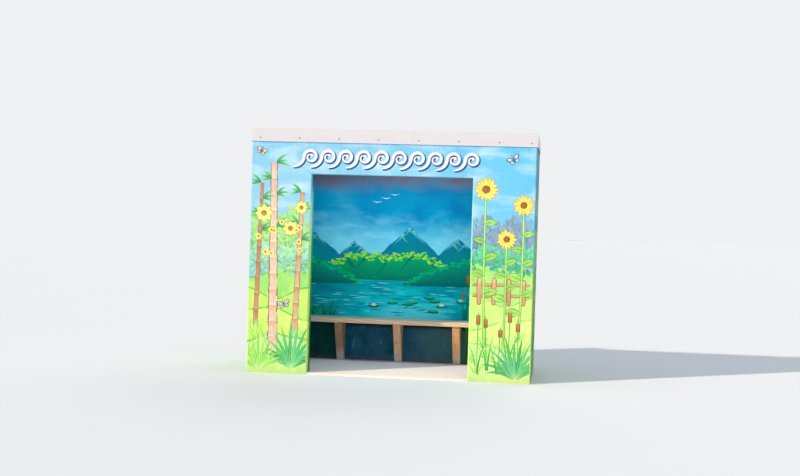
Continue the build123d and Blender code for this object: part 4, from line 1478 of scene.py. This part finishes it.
def soft_sun(name, strength, spread, azimuth, height, colour):
    """Wide soft lamp that shines from an azimuth, 0 being the front, and a height in degrees."""
    lamp = bpy.data.lights.new(name, "SUN")
    lamp.color = colour
    lamp.energy = strength
    lamp.angle = radians(spread)
    turn, rise = radians(azimuth), radians(height)
    place_lamp(lamp, (sin(turn) * cos(rise), -cos(turn) * cos(rise), sin(rise)))


def room_lamp(power):
    """Cool soft lamp behind the lintel, which shines on the back wall, the bench and the floor."""
    lamp = bpy.data.lights.new("room_lamp", "AREA")
    lamp.shape = "RECTANGLE"
    lamp.size = 2 * JAMB_X
    lamp.size_y = 0.16
    lamp.color = (0.70, 0.86, 1)
    lamp.energy = power
    holder = place_lamp(lamp, (0, -0.62, 0.78))
    holder.location = (0, FRONT_BACK_Y + 0.1, HEAD_Z + 0.06)
    holder.visible_camera = False


def camera(stage):
    """Camera at the photograph's viewing angle."""
    lens = bpy.data.cameras.new("camera")
    lens.lens = stage.camera_lens
    lens.sensor_width = 36
    holder = bpy.data.objects.new("camera", lens)
    place = Matrix.Translation((stage.camera_side, FRONT_Y - stage.camera_distance, stage.camera_height))
    turn = Matrix.Rotation(stage.camera_turn, 4, "Z")
    tip = Matrix.Rotation(pi / 2 + stage.camera_tip, 4, "X")
    roll = Matrix.Rotation(stage.camera_roll, 4, "Z")
    holder.matrix_world = place @ turn @ tip @ roll
    bpy.context.scene.collection.objects.link(holder)
    bpy.context.scene.camera = holder


def seen_directly(tree):
    """Node value that is 1 for camera, mirror and see-through rays."""
    path = tree.nodes.new("ShaderNodeLightPath")
    total = path.outputs["Is Camera Ray"]
    for name in ("Is Glossy Ray", "Is Transmission Ray"):
        most = tree.nodes.new("ShaderNodeMath")
        most.operation = "MAXIMUM"
        tree.links.new(total, most.inputs[0])
        tree.links.new(path.outputs[name], most.inputs[1])
        total = most.outputs[0]
    return total


def world(stage):
    """Even light for the object and a pale background for the camera."""
    made = bpy.data.worlds.new("studio")
    bpy.context.scene.world = made
    made.use_nodes = True
    tree = made.node_tree
    light = tree.nodes["Background"]
    light.inputs["Color"].default_value = (0.77, 0.88, 1, 1)
    light.inputs["Strength"].default_value = 0.26
    pale = tree.nodes.new("ShaderNodeBackground")
    pale.inputs["Color"].default_value = (*stage.background, 1)
    choice = tree.nodes.new("ShaderNodeMixShader")
    tree.links.new(seen_directly(tree), choice.inputs[0])
    tree.links.new(light.outputs[0], choice.inputs[1])
    tree.links.new(pale.outputs[0], choice.inputs[2])
    tree.links.new(choice.outputs[0], tree.nodes["World Output"].inputs["Surface"])


def stage_floor():
    """Wide pale floor under the shelter."""
    bm = bmesh.new()
    bmesh.ops.create_circle(bm, cap_ends=True, segments=64, radius=90)
    mesh = bpy.data.meshes.new("stage_floor")
    bm.to_mesh(mesh)
    bm.free()
    floor = bpy.data.objects.new("stage_floor", mesh)
    bpy.context.scene.collection.objects.link(floor)
    mesh.materials.append(Shader("stage_floor").finish("e0e1e4", 0.95, specular_ior_level=0.1))


class SHELTER_OT_stage(bpy.types.Operator):
    """Lays the pale floor and sets the lamps, the background and the camera"""
    bl_idname = "shelter.stage"
    bl_label = "Stage"

    def execute(self, context):
        context.scene.view_settings.view_transform = "Standard"
        stage_floor()
        for sun in SUNS:
            soft_sun(*sun)
        room_lamp(14.5)
        world(context.scene.shelter_stage)
        camera(context.scene.shelter_stage)
        return {"FINISHED"}


class SHELTER_PT_pieces(bpy.types.Panel):
    """Lists the shelter's operators in the order in which they run"""
    bl_idname = "SHELTER_PT_pieces"
    bl_label = "Painted bus shelter"
    bl_space_type = "VIEW_3D"
    bl_region_type = "UI"
    bl_category = "Shelter"

    def draw(self, context):
        for step in STEPS:
            self.layout.operator(step.bl_idname)


STEPS = (SHELTER_OT_finishes, SHELTER_OT_front_garden, SHELTER_OT_running_waves, SHELTER_OT_side_gardens,
         SHELTER_OT_lake, SHELTER_OT_capping_screws, SHELTER_OT_roof_screws, SHELTER_OT_board_screws,
         SHELTER_OT_bench_screws, SHELTER_OT_stage)
CLASSES = (ShelterColours, ShelterSizes, ShelterStage, *STEPS, SHELTER_PT_pieces)


def register():
    for kind in CLASSES:
        bpy.utils.register_class(kind)
    bpy.types.Scene.shelter_colours = PointerProperty(type=ShelterColours)
    bpy.types.Scene.shelter_sizes = PointerProperty(type=ShelterSizes)
    bpy.types.Scene.shelter_stage = PointerProperty(type=ShelterStage)


def unregister():
    del bpy.types.Scene.shelter_stage
    del bpy.types.Scene.shelter_sizes
    del bpy.types.Scene.shelter_colours
    for kind in reversed(CLASSES):
        bpy.utils.unregister_class(kind)


def main():
    """Builds everything in order."""
    register()
    for step in STEPS:
        group, name = step.bl_idname.split(".")
        getattr(getattr(bpy.ops, group), name)()


if __name__ == "__main__":
    main()
